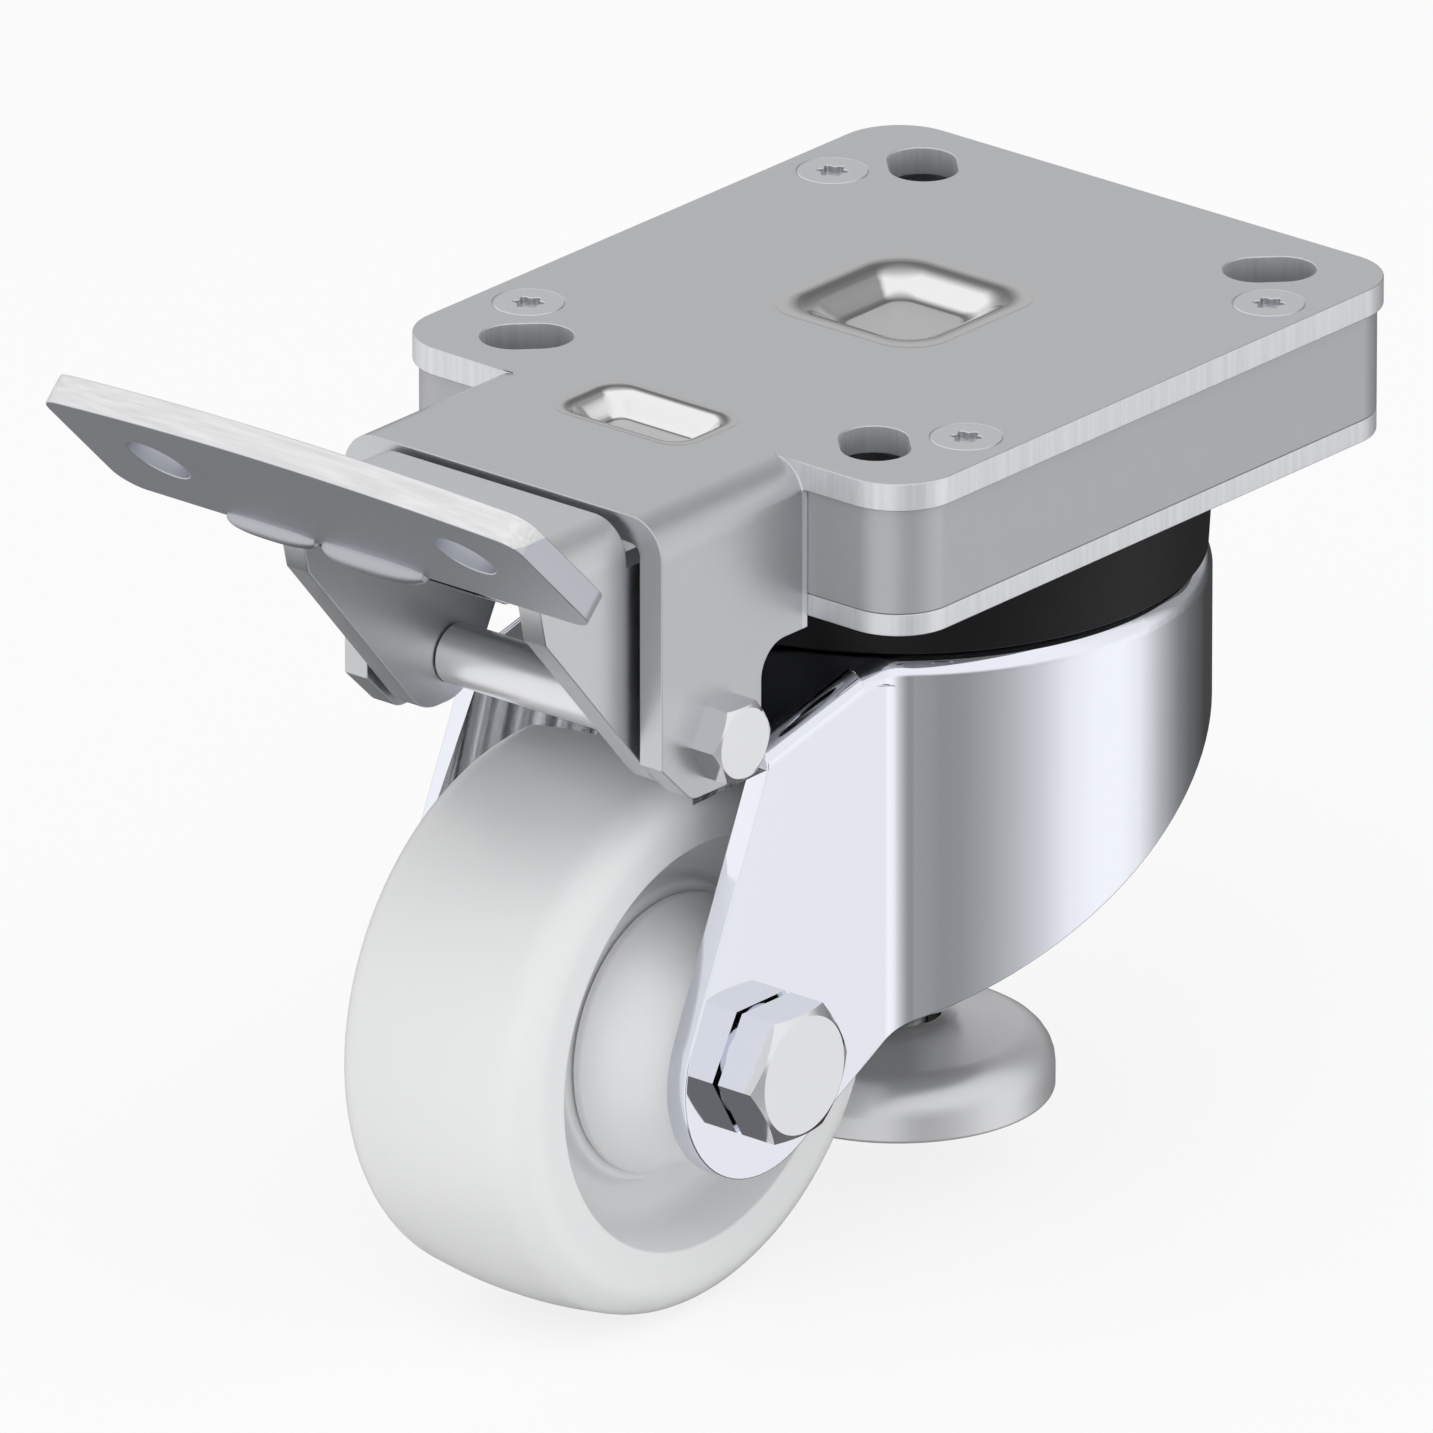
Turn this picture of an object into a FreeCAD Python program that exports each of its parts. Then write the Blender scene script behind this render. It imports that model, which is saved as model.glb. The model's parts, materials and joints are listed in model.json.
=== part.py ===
import FreeCAD, Part
import math
import os
import Sketcher

# Levelling castor: a swivel castor with a nylon wheel, and a foot that a pedal
# presses down through the hollow swivel.
# Frame: the origin is the centre of the top plate's upper face, on the swivel axis.
# +Z is up, -X points to the pedal, and all sizes are in millimetres.

doc = FreeCAD.newDocument("levelling_castor")
sheet = doc.addObject("Spreadsheet::Sheet", "Sizes")

SIZES = [
    ("running", 0.05, "radial clearance of a shaft in its bore"),
    ("gap", 0.3, "clearance between parts that slide past each other"),
    ("plate_length", 134, "top plate along X"),
    ("plate_width", 115, "top plate along Y"),
    ("plate_sheet", 5, "top plate and tongue thickness"),
    ("plate_corner", 11.5, "corner radius of the top plate"),
    ("slot_from_end", 14.6, "fastening slot centre from the plate's end"),
    ("slot_from_side", 19.2, "fastening slot centre from the plate's side"),
    ("slot_width", 11.8, "width of a fastening slot"),
    ("slot_shift", 4.2, "distance between a slot's end centres"),
    ("screw_from_end", 26.8, "housing screw from the plate's end"),
    ("screw_from_side", 9.3, "housing screw from the plate's side"),
    ("screw_head", 12.6, "countersunk head diameter"),
    ("screw_head_depth", 3.3, "countersunk head height"),
    ("screw_shank", 6, "housing screw thread diameter"),
    ("screw_end", 1.6, "screw end below the base plate"),
    ("overhang", 1.1, "top plate beyond the housing frame"),
    ("frame_height", 19, "housing frame between the plates"),
    ("frame_wall", 4, "housing frame wall"),
    ("base_sheet", 4, "base plate thickness"),
    ("post_radius", 6, "screw post in the housing frame"),
    ("window_half", 28.5, "half width of the frame's window for the pull plates"),
    ("tongue_reach", 104, "front edge of the tongue from the axis"),
    ("tongue_half", 35, "outer half width of the tongue"),
    ("tongue_bend", 7, "outer bend radius of the tongue"),
    ("cheek_length", 26, "a tongue cheek along X"),
    ("cheek_shoulder", 30, "depth of the cheek's shoulder below the top face"),
    ("cheek_shoulder_round", 6, "inner round of the cheek's shoulder"),
    ("cheek_round", 9.5, "radius of a cheek about the pedal pivot"),
    ("cheek_corner_drop", 1.9, "front end of a cheek's cut corner below the pivot"),
    ("cheek_corner_back", 7.8, "lower end of a cheek's cut corner behind the front edge"),
    ("cheek_corner_round", 4, "round at the lower end of the cut corner"),
    ("pivot_from_front", 15.2, "pedal pivot behind the tongue's front edge"),
    ("pivot_z", 42.6, "pedal pivot below the top face"),
    ("pivot_radius", 4, "pedal pivot bolt radius"),
    ("pivot_flats", 13, "pivot bolt across flats"),
    ("pivot_head", 5.4, "pivot bolt head height"),
    ("pivot_nut_height", 6.5, "pivot nut height"),
    ("pivot_tube_radius", 5.3, "spacer tube radius on the pivot bolt"),
    ("bolt_end", 2.5, "bolt end beyond its nut"),
    ("recess_x", 1.5, "middle of the large embossed recess"),
    ("recess_length", 36, "large recess along X at the top face"),
    ("recess_width", 35, "large recess along Y at the top face"),
    ("recess_flat", 13.5, "flat bottom of the large recess"),
    ("recess_depth", 3.5, "depth of both recesses"),
    ("recess_corner", 8, "corner radius of the large recess at the top face"),
    ("recess_flat_corner", 3, "corner radius of the large recess at its flat"),
    ("tongue_recess_from_front", 37.5, "middle of the small recess behind the tongue's front edge"),
    ("tongue_recess_length", 18, "small recess along X"),
    ("tongue_recess_width", 30, "small recess along Y"),
    ("tongue_flat_length", 6, "flat bottom of the small recess along X"),
    ("tongue_flat_width", 16, "flat bottom of the small recess along Y"),
    ("tongue_recess_corner", 5, "corner radius of the small recess at the top face"),
    ("tongue_flat_corner", 2, "corner radius of the small recess at its flat"),
    ("seal_radius", 53.6, "black cover ring, outside"),
    ("seal_wall", 3, "black cover ring wall"),
    ("seal_taper", 0.9, "cover ring gets narrower downwards"),
    ("deck_depth", 43.5, "top of the fork deck below the top face"),
    ("drum_radius", 53.4, "fork drum, outside"),
    ("fork_sheet", 4.3, "fork sheet thickness"),
    ("fork_half", 34, "outer half width of the fork legs"),
    ("fork_blend", 7, "reflex bend between drum and legs"),
    ("fork_edge", 4, "rounding of the deck edge"),
    ("fork_hole", 30, "swivel hole in the fork deck"),
    ("fork_front_back", 13.8, "front of the fork deck behind the pedal pivot"),
    ("fork_front_drop", 53.5, "upper front corner of the legs below the top face"),
    ("deck_slope_start", 50, "where the leg tops start to slope"),
    ("deck_slope_drop", 49.3, "top of the legs at the fork front"),
    ("fork_end_radius", 20.5, "round end of a leg about the axle"),
    ("drum_back_depth", 58.5, "lower edge of the drum at its back"),
    ("ball_radius", 3.5, "swivel ball"),
    ("ball_circle", 37.5, "circle of the swivel balls"),
    ("ball_count", 12, "balls in a swivel race"),
    ("race_outer", 45, "outer radius of the swivel races"),
    ("race_height", 5.5, "height of an upper swivel race"),
    ("lower_race_height", 4.2, "height of the lower swivel races"),
    ("race_clearance", 1.5, "turning races clear of the guide cup"),
    ("cup_inner", 25.5, "inner radius of the guide cup"),
    ("cup_wall", 3, "guide cup wall"),
    ("cup_floor", 47, "cup floor below the top face"),
    ("cup_floor_height", 4, "cup floor thickness"),
    ("cup_end", 61.5, "lower end of the cup wall"),
    ("sleeve_radius", 17, "outer radius of the plunger sleeve"),
    ("sleeve_end", 64, "lower end of the plunger sleeve"),
    ("wheel_x", 76.3, "axle in front of the swivel axis"),
    ("wheel_z", 106.2, "axle below the top face"),
    ("wheel_radius", 50, "wheel tread radius"),
    ("wheel_half", 21, "half width of the wheel"),
    ("wheel_corner", 7, "tread corner rounding"),
    ("tread_flat", 6, "half width of the tread's cylindrical middle"),
    ("tread_crown", 2, "fall of the tread from its middle to its corners"),
    ("tread_round", 80, "round of the tread beside its middle"),
    ("rim_inner", 36.5, "inner edge of the flat rim face"),
    ("web_half", 9, "half thickness of the wheel web"),
    ("wheel_draft", 2.5, "taper of the rim wall beside the web"),
    ("hub_draft", 1, "taper of the hub wall beside the web"),
    ("web_round", 5, "round between web and rim"),
    ("hub_round", 1.5, "round between web and hub"),
    ("hub_radius", 26, "wheel hub outside"),
    ("hub_half", 12, "half length of the wheel hub"),
    ("bearing_outer", 17.5, "ball bearing outside"),
    ("bearing_inner", 8.5, "ball bearing bore"),
    ("bearing_width", 10, "ball bearing width"),
    ("bearing_ball", 2.1, "ball radius in the wheel bearings"),
    ("bearing_balls", 9, "balls in a wheel bearing"),
    ("bearing_ring", 2.3, "thickness of the bearing rings"),
    ("bearing_stop", 3, "shoulder behind a bearing in the hub"),
    ("guard_clearance", 0.5, "thread guards clear of the turning hub"),
    ("guard_edge", 1.5, "cylindrical edge of a thread guard"),
    ("guard_wall", 2, "thread guard wall"),
    ("guard_step", 1.5, "thread guard's edge inside the hub's edge"),
    ("guard_top", 15, "radius of a thread guard at the fork leg"),
    ("shield_height", 1.5, "bearing shield thickness"),
    ("axle_radius", 7, "axle bolt"),
    ("axle_flats", 22, "axle bolt across flats"),
    ("axle_head", 9, "axle bolt head height"),
    ("axle_nut_height", 11, "axle nut height"),
    ("foot_radius", 27, "foot disc"),
    ("foot_bottom", 143.5, "bottom of the foot below the top face"),
    ("foot_edge", 0.8, "round at the bottom of the foot disc"),
    ("foot_round", 7, "rounding above the band"),
    ("foot_neck", 10.5, "upper radius of the foot disc"),
    ("foot_top", 129.6, "top of the foot disc below the top face"),
    ("foot_drop", 3.9, "fall of the foot disc's cone"),
    ("foot_ball", 5.5, "ball end of the spindle"),
    ("foot_ball_depth", 134, "middle of the foot joint below the top face"),
    ("liner_wall", 1.8, "wall of the joint liner"),
    ("joint_mouth", 2.6, "joint mouth above the ball's middle"),
    ("spindle_radius", 8, "threaded spindle"),
    ("spindle_neck", 3.8, "neck above the ball end"),
    ("spindle_end", 127.6, "shoulder of the spindle below the top face"),
    ("spindle_top", 76, "upper end of the spindle below the top face"),
    ("nut_flats", 22, "adjusting nut across flats"),
    ("nut_height", 13.5, "adjusting nut height"),
    ("nut_bottom", 127, "bottom of the adjusting nut below the top face"),
    ("plunger_radius", 13, "plunger tube outside"),
    ("plunger_top", 9.2, "top of the plunger below the top face"),
    ("plunger_bore_top", 72, "top of the spindle bore below the top face"),
    ("cross_pin_depth", 14.4, "cross pin below the top face"),
    ("cross_pin_radius", 4, "cross pin"),
    ("stroke", 12.2, "lift stroke of the plunger"),
    ("pull", 19.2, "travel of the pull plates"),
    ("pull_inner", 18.6, "inner face of a pull plate from the middle"),
    ("pull_sheet", 4.6, "pull plate thickness"),
    ("pull_strip", 4.8, "height of a pull plate above the cross pin"),
    ("pull_front_back", 0.3, "front end of the pull plates behind the pivot"),
    ("pull_ramp_start", 14, "lower end of a pull plate's front ramp behind the drive pin"),
    ("pull_ramp_end", 24, "upper end of a pull plate's front ramp behind the drive pin"),
    ("pull_round", 6, "lower front corner of a pull plate"),
    ("pull_ramp_round", 3, "rounds of a pull plate's front ramp"),
    ("pull_back", 26, "rear end of the pull plates behind the axis"),
    ("collar_radius", 21, "spring collar on the plunger"),
    ("collar_depth", 18.7, "top of the spring collar below the top face"),
    ("collar_height", 2.4, "spring collar thickness"),
    ("spring_radius", 17.5, "mean radius of the return spring"),
    ("spring_wire", 1.3, "wire radius of the return spring"),
    ("spring_turns", 4, "turns of the return spring"),
    ("lever_half", 28.6, "outer half width of the lever"),
    ("lever_sheet", 5, "lever sheet thickness"),
    ("lever_top", 0.7, "top of the lever web below the top face"),
    ("lever_gap", 1.5, "gap between tongue and lever web"),
    ("lever_tip_gap", 1.5, "front edge of the lever web behind the pedal's edge"),
    ("lever_nose_reach", 39.9, "front edge of a lever cheek from the pivot"),
    ("nose_top", 1, "top of a cheek's front edge below the web"),
    ("nose_height", 11, "bottom of a cheek's front edge below the web"),
    ("nose_slant", 2.3, "slant of a cheek's front edge"),
    ("lever_toe", 8.2, "lower front corner of a lever cheek from the pivot"),
    ("lever_heel", 3.4, "lower rear corner of a lever cheek from the pivot"),
    ("heel_drop", 9, "rear edge of a lever cheek below the drive pin"),
    ("heel_round", 4, "round at the lower end of that edge"),
    ("lever_round", 8.5, "lever cheek radius about the pivot"),
    ("crank_radius", 28, "drive pin from the pivot"),
    ("crank_lean", 20, "drive pin behind the upright at rest, in degrees"),
    ("crank_lobe", 7.5, "lever cheek about the drive pin"),
    ("drive_pin_radius", 4, "drive pin"),
    ("pedal_sheet", 5.5, "pedal plate thickness"),
    ("pedal_reach", 54.9, "lower edge of the pedal's front face from the pivot"),
    ("pedal_low_z", 0.5, "that edge below the top face"),
    ("pedal_lean", 45, "pedal face from the level, in degrees"),
    ("pedal_half", 52, "half length of the pedal plate"),
    ("pedal_depth", 26.6, "pedal plate depth at its ends"),
    ("pedal_bow", 3.9, "bow of the pedal's outer edge"),
    ("pedal_corner", 9, "lower corner radius of the pedal"),
    ("pedal_hole_radius", 5.85, "hole in the pedal plate"),
    ("pedal_hole_y", 33.5, "pedal hole from the middle"),
    ("pedal_hole_up", 13.6, "pedal hole from the lower edge"),
    ("tie_front", 52, "front of the tie between the ramp plates"),
    ("tie_length", 8, "tie along X"),
    ("tie_height", 9, "tie height"),
    ("washer_radius", 7.5, "pivot washer"),
    ("weld_reach", 23, "half length of the weld behind the pedal plate"),
    ("weld_middle", 12, "weld bead in front from the middle"),
    ("weld_length", 9, "length of a front weld bead"),
    ("weld_radius", 2.2, "radius of a front weld bead"),
    ("weld_sink", 0.5, "weld below the top of the lever web"),
    ("weld_foot", 2, "foot of the rear weld on the lever web"),
]

# Places that follow from the sizes above, so that neighbours keep together.
PLACES = [
    ("slot_x", "plate_length / 2 - slot_from_end", "fastening slot centre along X"),
    ("slot_y", "plate_width / 2 - slot_from_side", "fastening slot centre along Y"),
    ("screw_x", "plate_length / 2 - screw_from_end", "housing screw along X"),
    ("screw_y", "plate_width / 2 - screw_from_side", "housing screw along Y"),
    ("cheek_back", "tongue_reach - cheek_length", "rear edge of a tongue cheek"),
    ("pivot_x", "tongue_reach - pivot_from_front", "pedal pivot in front of the axis"),
    ("tongue_recess_x", "tongue_reach - tongue_recess_from_front", "small recess in front of the axis"),
    ("fork_front", "pivot_x - fork_front_back", "front of the fork deck"),
    ("pull_front", "pivot_x - pull_front_back", "front end of the pull plates"),
    ("lever_back", "tongue_reach + lever_gap", "rear edge of the lever web"),
    ("lever_nose", "pivot_x + lever_nose_reach", "front edge of a lever cheek"),
    ("pedal_low_x", "pivot_x + pedal_reach", "lower edge of the pedal's front face"),
]

for row, (alias, value, note) in enumerate(SIZES + PLACES, start=1):
    sheet.set("A%d" % row, alias)
    sheet.set("B%d" % row, "=%s" % value)
    sheet.set("C%d" % row, note)
    sheet.setAlias("B%d" % row, alias)
doc.recompute()

pieces = []


def size(formula):
    """The value of a formula of sheet sizes, such as 'Sizes.plate_width / 2'."""
    return float(sheet.evalExpression(str(formula)))


def bind(obj, **formulas):
    """Tie properties of an object to formulas of sheet sizes."""
    for name, formula in formulas.items():
        obj.setExpression(name, str(formula))
    return obj


def put(obj, x="0", y="0", z="0", axis=None, turn="0"):
    """Place an object at formulas of the sheet, turned about an axis."""
    rotation = FreeCAD.Rotation()
    if axis is not None:
        rotation = FreeCAD.Rotation(FreeCAD.Vector(*axis), size(turn))
    obj.Placement = FreeCAD.Placement(FreeCAD.Vector(size(x), size(y), size(z)), rotation)
    for letter, formula in (("x", x), ("y", y), ("z", z)):
        obj.setExpression("Placement.Base." + letter, str(formula))
    return obj


def box(name, length, width, height, x, y, z, **turn):
    """A block whose corner lies at x, y, z."""
    obj = doc.addObject("Part::Box", name)
    bind(obj, Length=length, Width=width, Height=height)
    return put(obj, x, y, z, **turn)


AXES = {"Y": ((1, 0, 0), "-90"), "Z": (None, "0")}


def rod(name, radius, length, x="0", y="0", z="0", along="Z"):
    """A cylinder that starts at x, y, z and runs along an axis."""
    obj = doc.addObject("Part::Cylinder", name)
    bind(obj, Radius=radius, Height=length)
    axis, turn = AXES[along]
    return put(obj, x, y, z, axis=axis, turn=turn)


def hexagon(name, flats, length, x="0", y="0", z="0", along="Z"):
    """A hexagonal prism given across its flats."""
    obj = doc.addObject("Part::Prism", name)
    obj.Polygon = 6
    bind(obj, Circumradius="(%s) / sqrt(3)" % flats, Height=length)
    axis, turn = AXES[along]
    return put(obj, x, y, z, axis=axis, turn=turn)


def cone(name, lower, upper, height, x="0", y="0", z="0", along="Z"):
    """A truncated cone from its lower to its upper radius."""
    obj = doc.addObject("Part::Cone", name)
    bind(obj, Radius1=lower, Radius2=upper, Height=height)
    axis, turn = AXES[along]
    return put(obj, x, y, z, axis=axis, turn=turn)


def fuse(name, *parts):
    """One solid from parts that overlap."""
    obj = doc.addObject("Part::MultiFuse", name)
    obj.Shapes = list(parts)
    obj.Refine = True
    return obj


def group(name, *parts):
    """Several separate solids in one node."""
    obj = doc.addObject("Part::Compound", name)
    obj.Links = list(parts)
    return obj


def cut(name, base, *tools):
    """The base less all tools."""
    tool = tools[0] if len(tools) == 1 else fuse(name + "_tools", *tools)
    obj = doc.addObject("Part::Cut", name)
    obj.Base = base
    obj.Tool = tool
    obj.Refine = True
    return obj


def common(name, first, second):
    """What two shapes share."""
    obj = doc.addObject("Part::MultiCommon", name)
    obj.Shapes = [first, second]
    obj.Refine = True
    return obj


def ring(name, outer, inner, height, x="0", y="0", z="0", along="Z"):
    """A plain ring, tube or washer."""
    whole = rod(name + "_outer", outer, height, x, y, z, along)
    bore = rod(name + "_bore", inner, height, x, y, z, along)
    return cut(name, whole, bore)


def keep(obj, label):
    """Name a finished sub-part."""
    obj.Label = label
    pieces.append(obj)
    return obj


def outline(body, name, plane, points, rounds=None):
    """A closed sketch on one of the body's planes.

    Points are pairs of formulas, and each corner is dimensioned from the origin.
    A corner listed in rounds is replaced by an arc tangent to its two lines, of
    the radius that its formula gives.
    """
    rounds = rounds or {}
    sketch = body.newObject("Sketcher::SketchObject", name)
    plane_object = [o for o in body.Origin.OriginFeatures if o.Role == plane][0]
    sketch.AttachmentSupport = (plane_object, "")
    sketch.MapMode = "FlatFace"
    at = [FreeCAD.Vector(size(u), size(v), 0) for u, v in points]
    count = len(at)
    starts = {}
    ends = {}
    for i in range(count):
        before = (at[i - 1] - at[i]).normalize()
        after = (at[(i + 1) % count] - at[i]).normalize()
        if i in rounds:
            half_angle = before.getAngle(after) / 2
            reach = size(rounds[i]) / math.tan(half_angle)
            ends[i] = at[i] + before * reach
            starts[i] = at[i] + after * reach
        else:
            ends[i] = at[i]
            starts[i] = at[i]
    lines = []
    for i in range(count):
        side = Part.LineSegment(starts[i], ends[(i + 1) % count])
        lines.append(sketch.addGeometry(side, False))
    for i in range(count):
        arriving = lines[i - 1]
        leaving = lines[i]
        if i in rounds:
            before = (ends[i] - at[i]).normalize()
            after = (starts[i] - at[i]).normalize()
            middle_way = (before + after).normalize()
            radius = size(rounds[i])
            centre = at[i] + middle_way * (radius / math.sin(before.getAngle(after) / 2))
            left_turn = before.cross(after).z < 0
            first, last = (1, 2) if left_turn else (2, 1)
            opening, closing = (ends[i], starts[i]) if left_turn else (starts[i], ends[i])
            circle = Part.Circle(centre, FreeCAD.Vector(0, 0, 1), radius)
            from_angle = math.atan2(opening.y - centre.y, opening.x - centre.x)
            to_angle = math.atan2(closing.y - centre.y, closing.x - centre.x)
            if to_angle < from_angle:
                to_angle += 2 * math.pi
            arc = sketch.addGeometry(Part.ArcOfCircle(circle, from_angle, to_angle), False)
            sketch.addConstraint(Sketcher.Constraint("Tangent", arriving, 2, arc, first))
            sketch.addConstraint(Sketcher.Constraint("Tangent", leaving, 1, arc, last))
            number = sketch.addConstraint(Sketcher.Constraint("Radius", arc, radius))
            sketch.setExpression("Constraints[%d]" % number, str(rounds[i]))
            corner = sketch.addGeometry(Part.Point(at[i]), True)
            sketch.addConstraint(Sketcher.Constraint("PointOnObject", corner, 1, arriving))
            sketch.addConstraint(Sketcher.Constraint("PointOnObject", corner, 1, leaving))
            place = (corner, 1)
        else:
            sketch.addConstraint(Sketcher.Constraint("Coincident", arriving, 2, leaving, 1))
            place = (leaving, 1)
        for kind, formula in (("DistanceX", points[i][0]), ("DistanceY", points[i][1])):
            number = sketch.addConstraint(
                Sketcher.Constraint(kind, -1, 1, place[0], place[1], size(formula)))
            sketch.setExpression("Constraints[%d]" % number, str(formula))
    return sketch


def new_body(name):
    return doc.addObject("PartDesign::Body", name)


def padded(name, plane, points, width, start=None, rounds=None):
    """A body padded from an outline, centred on its plane, or from a start distance."""
    body = new_body(name)
    sketch = outline(body, name + "_outline", plane, points, rounds)
    if start is not None:
        offset = FreeCAD.Vector(0, 0, size(start))
        sketch.AttachmentOffset = FreeCAD.Placement(offset, FreeCAD.Rotation())
        sketch.setExpression("AttachmentOffset.Base.z", str(start))
    pad = body.newObject("PartDesign::Pad", name + "_pad")
    pad.Profile = sketch
    pad.Midplane = start is None
    bind(pad, Length=width)
    return body


def turned(name, points, x="0", y="0", z="0", along="Z", rounds=None):
    """A body turned from an outline of radius and height about its own axis."""
    body = new_body(name)
    sketch = outline(body, name + "_profile", "XZ_Plane", points, rounds)
    turning = body.newObject("PartDesign::Revolution", name + "_turning")
    turning.Profile = sketch
    turning.ReferenceAxis = (sketch, ["V_Axis"])
    turning.Angle = 360
    axis, turn = AXES[along]
    return put(body, x, y, z, axis=axis, turn=turn)


def rounded(body, name, radius, chosen):
    """Round the edges of a body that a test picks."""
    doc.recompute()
    base = body.Tip
    names = ["Edge%d" % (i + 1) for i, edge in enumerate(base.Shape.Edges) if chosen(edge)]
    fillet = body.newObject("PartDesign::Fillet", name)
    fillet.Base = (base, names)
    bind(fillet, Radius=radius)
    return body


def upright(edge):
    """True for a straight edge that runs along Z."""
    ends = [v.Point for v in edge.Vertexes]
    if len(ends) != 2 or edge.Curve.TypeId != "Part::GeomLine":
        return False
    along = ends[1] - ends[0]
    return abs(along.x) + abs(along.y) < 1e-4 * abs(along.z)


def rectangle(half_x, half_y, middle_x="0", middle_y="0"):
    """The four corners of a rectangle about a middle."""
    return [
        ("%s - (%s)" % (middle_x, half_x), "%s - (%s)" % (middle_y, half_y)),
        ("%s + (%s)" % (middle_x, half_x), "%s - (%s)" % (middle_y, half_y)),
        ("%s + (%s)" % (middle_x, half_x), "%s + (%s)" % (middle_y, half_y)),
        ("%s - (%s)" % (middle_x, half_x), "%s + (%s)" % (middle_y, half_y)),
    ]


def all_round(count, radius):
    """The same radius on every corner of an outline."""
    return {i: radius for i in range(count)}


# Housing: the drawn and bent top sheet, the frame below it and the base plate.
SIDES = ((1, 1), (1, -1), (-1, 1), (-1, -1))
HALF_ROOT = "sqrt(0.5)"
THROUGH = "(Sizes.plate_sheet + Sizes.frame_height + Sizes.base_sheet)"
BASE_TOP = "(Sizes.plate_sheet + Sizes.frame_height)"


def slots(name):
    """Four slots through the whole housing that point to the swivel axis."""
    tools = []
    for i, (sx, sy) in enumerate(SIDES):
        shift = "Sizes.slot_shift / 2 * " + HALF_ROOT
        for end in (-1, 1):
            x = "%d * (Sizes.slot_x + %d * %s)" % (sx, end, shift)
            y = "%d * (Sizes.slot_y + %d * %s)" % (sy, end, shift)
            tools.append(rod("%s_end_%d_%d" % (name, i, end), "Sizes.slot_width / 2",
                             THROUGH + " + 2", x, y, "-%s - 1" % THROUGH))
        lean = 45 if sx * sy > 0 else -45
        turn_x = HALF_ROOT
        turn_y = HALF_ROOT if lean > 0 else "-" + HALF_ROOT
        x = "%d * Sizes.slot_x - Sizes.slot_shift / 2 * %s + Sizes.slot_width / 2 * (%s)" % (
            sx, turn_x, turn_y)
        y = "%d * Sizes.slot_y - Sizes.slot_shift / 2 * (%s) - Sizes.slot_width / 2 * %s" % (
            sy, turn_y, turn_x)
        tools.append(box("%s_middle_%d" % (name, i), "Sizes.slot_shift", "Sizes.slot_width",
                         THROUGH + " + 2", x, y, "-%s - 1" % THROUGH, axis=(0, 0, 1), turn=lean))
    return tools


def screw_holes(name, radius):
    """Four holes for the housing screws."""
    return [rod("%s_%d" % (name, i), radius, THROUGH + " + 2",
                "%d * Sizes.screw_x" % sx, "%d * Sizes.screw_y" % sy, "-%s - 1" % THROUGH)
            for i, (sx, sy) in enumerate(SIDES)]


RECESS_STEPS = 6


def recess(name, middle, length, width, flat_length, flat_width, corner, flat_corner, top, extra):
    """A dish whose walls run down in an S: level at the rim, steep halfway, level at the flat.

    It is lofted through rounded rectangles that shrink evenly while their depth
    follows half a cosine wave. The same form is used for a recess and its bulge.
    """
    body = new_body(name)
    sections = []
    for step in range(RECESS_STEPS + 1):
        inward = step / RECESS_STEPS
        fall = (1 - math.cos(math.pi * inward)) / 2

        def between(outer, inner):
            return "((%s) * %.4f + (%s) * %.4f)" % (outer, 1 - inward, inner, inward)

        section = outline(body, "%s_section_%d" % (name, step), "XY_Plane",
                          rectangle("%s / 2 + %s" % (between(length, flat_length), extra),
                                    "%s / 2 + %s" % (between(width, flat_width), extra), middle),
                          all_round(4, between(corner, flat_corner)))
        section.setExpression("AttachmentOffset.Base.z", "%s - Sizes.recess_depth * %.4f" % (top, fall))
        sections.append(section)
    loft = body.newObject("PartDesign::AdditiveLoft", name + "_loft")
    loft.Profile = sections[0]
    loft.Sections = sections[1:]
    loft.Ruled = True
    return body


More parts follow.
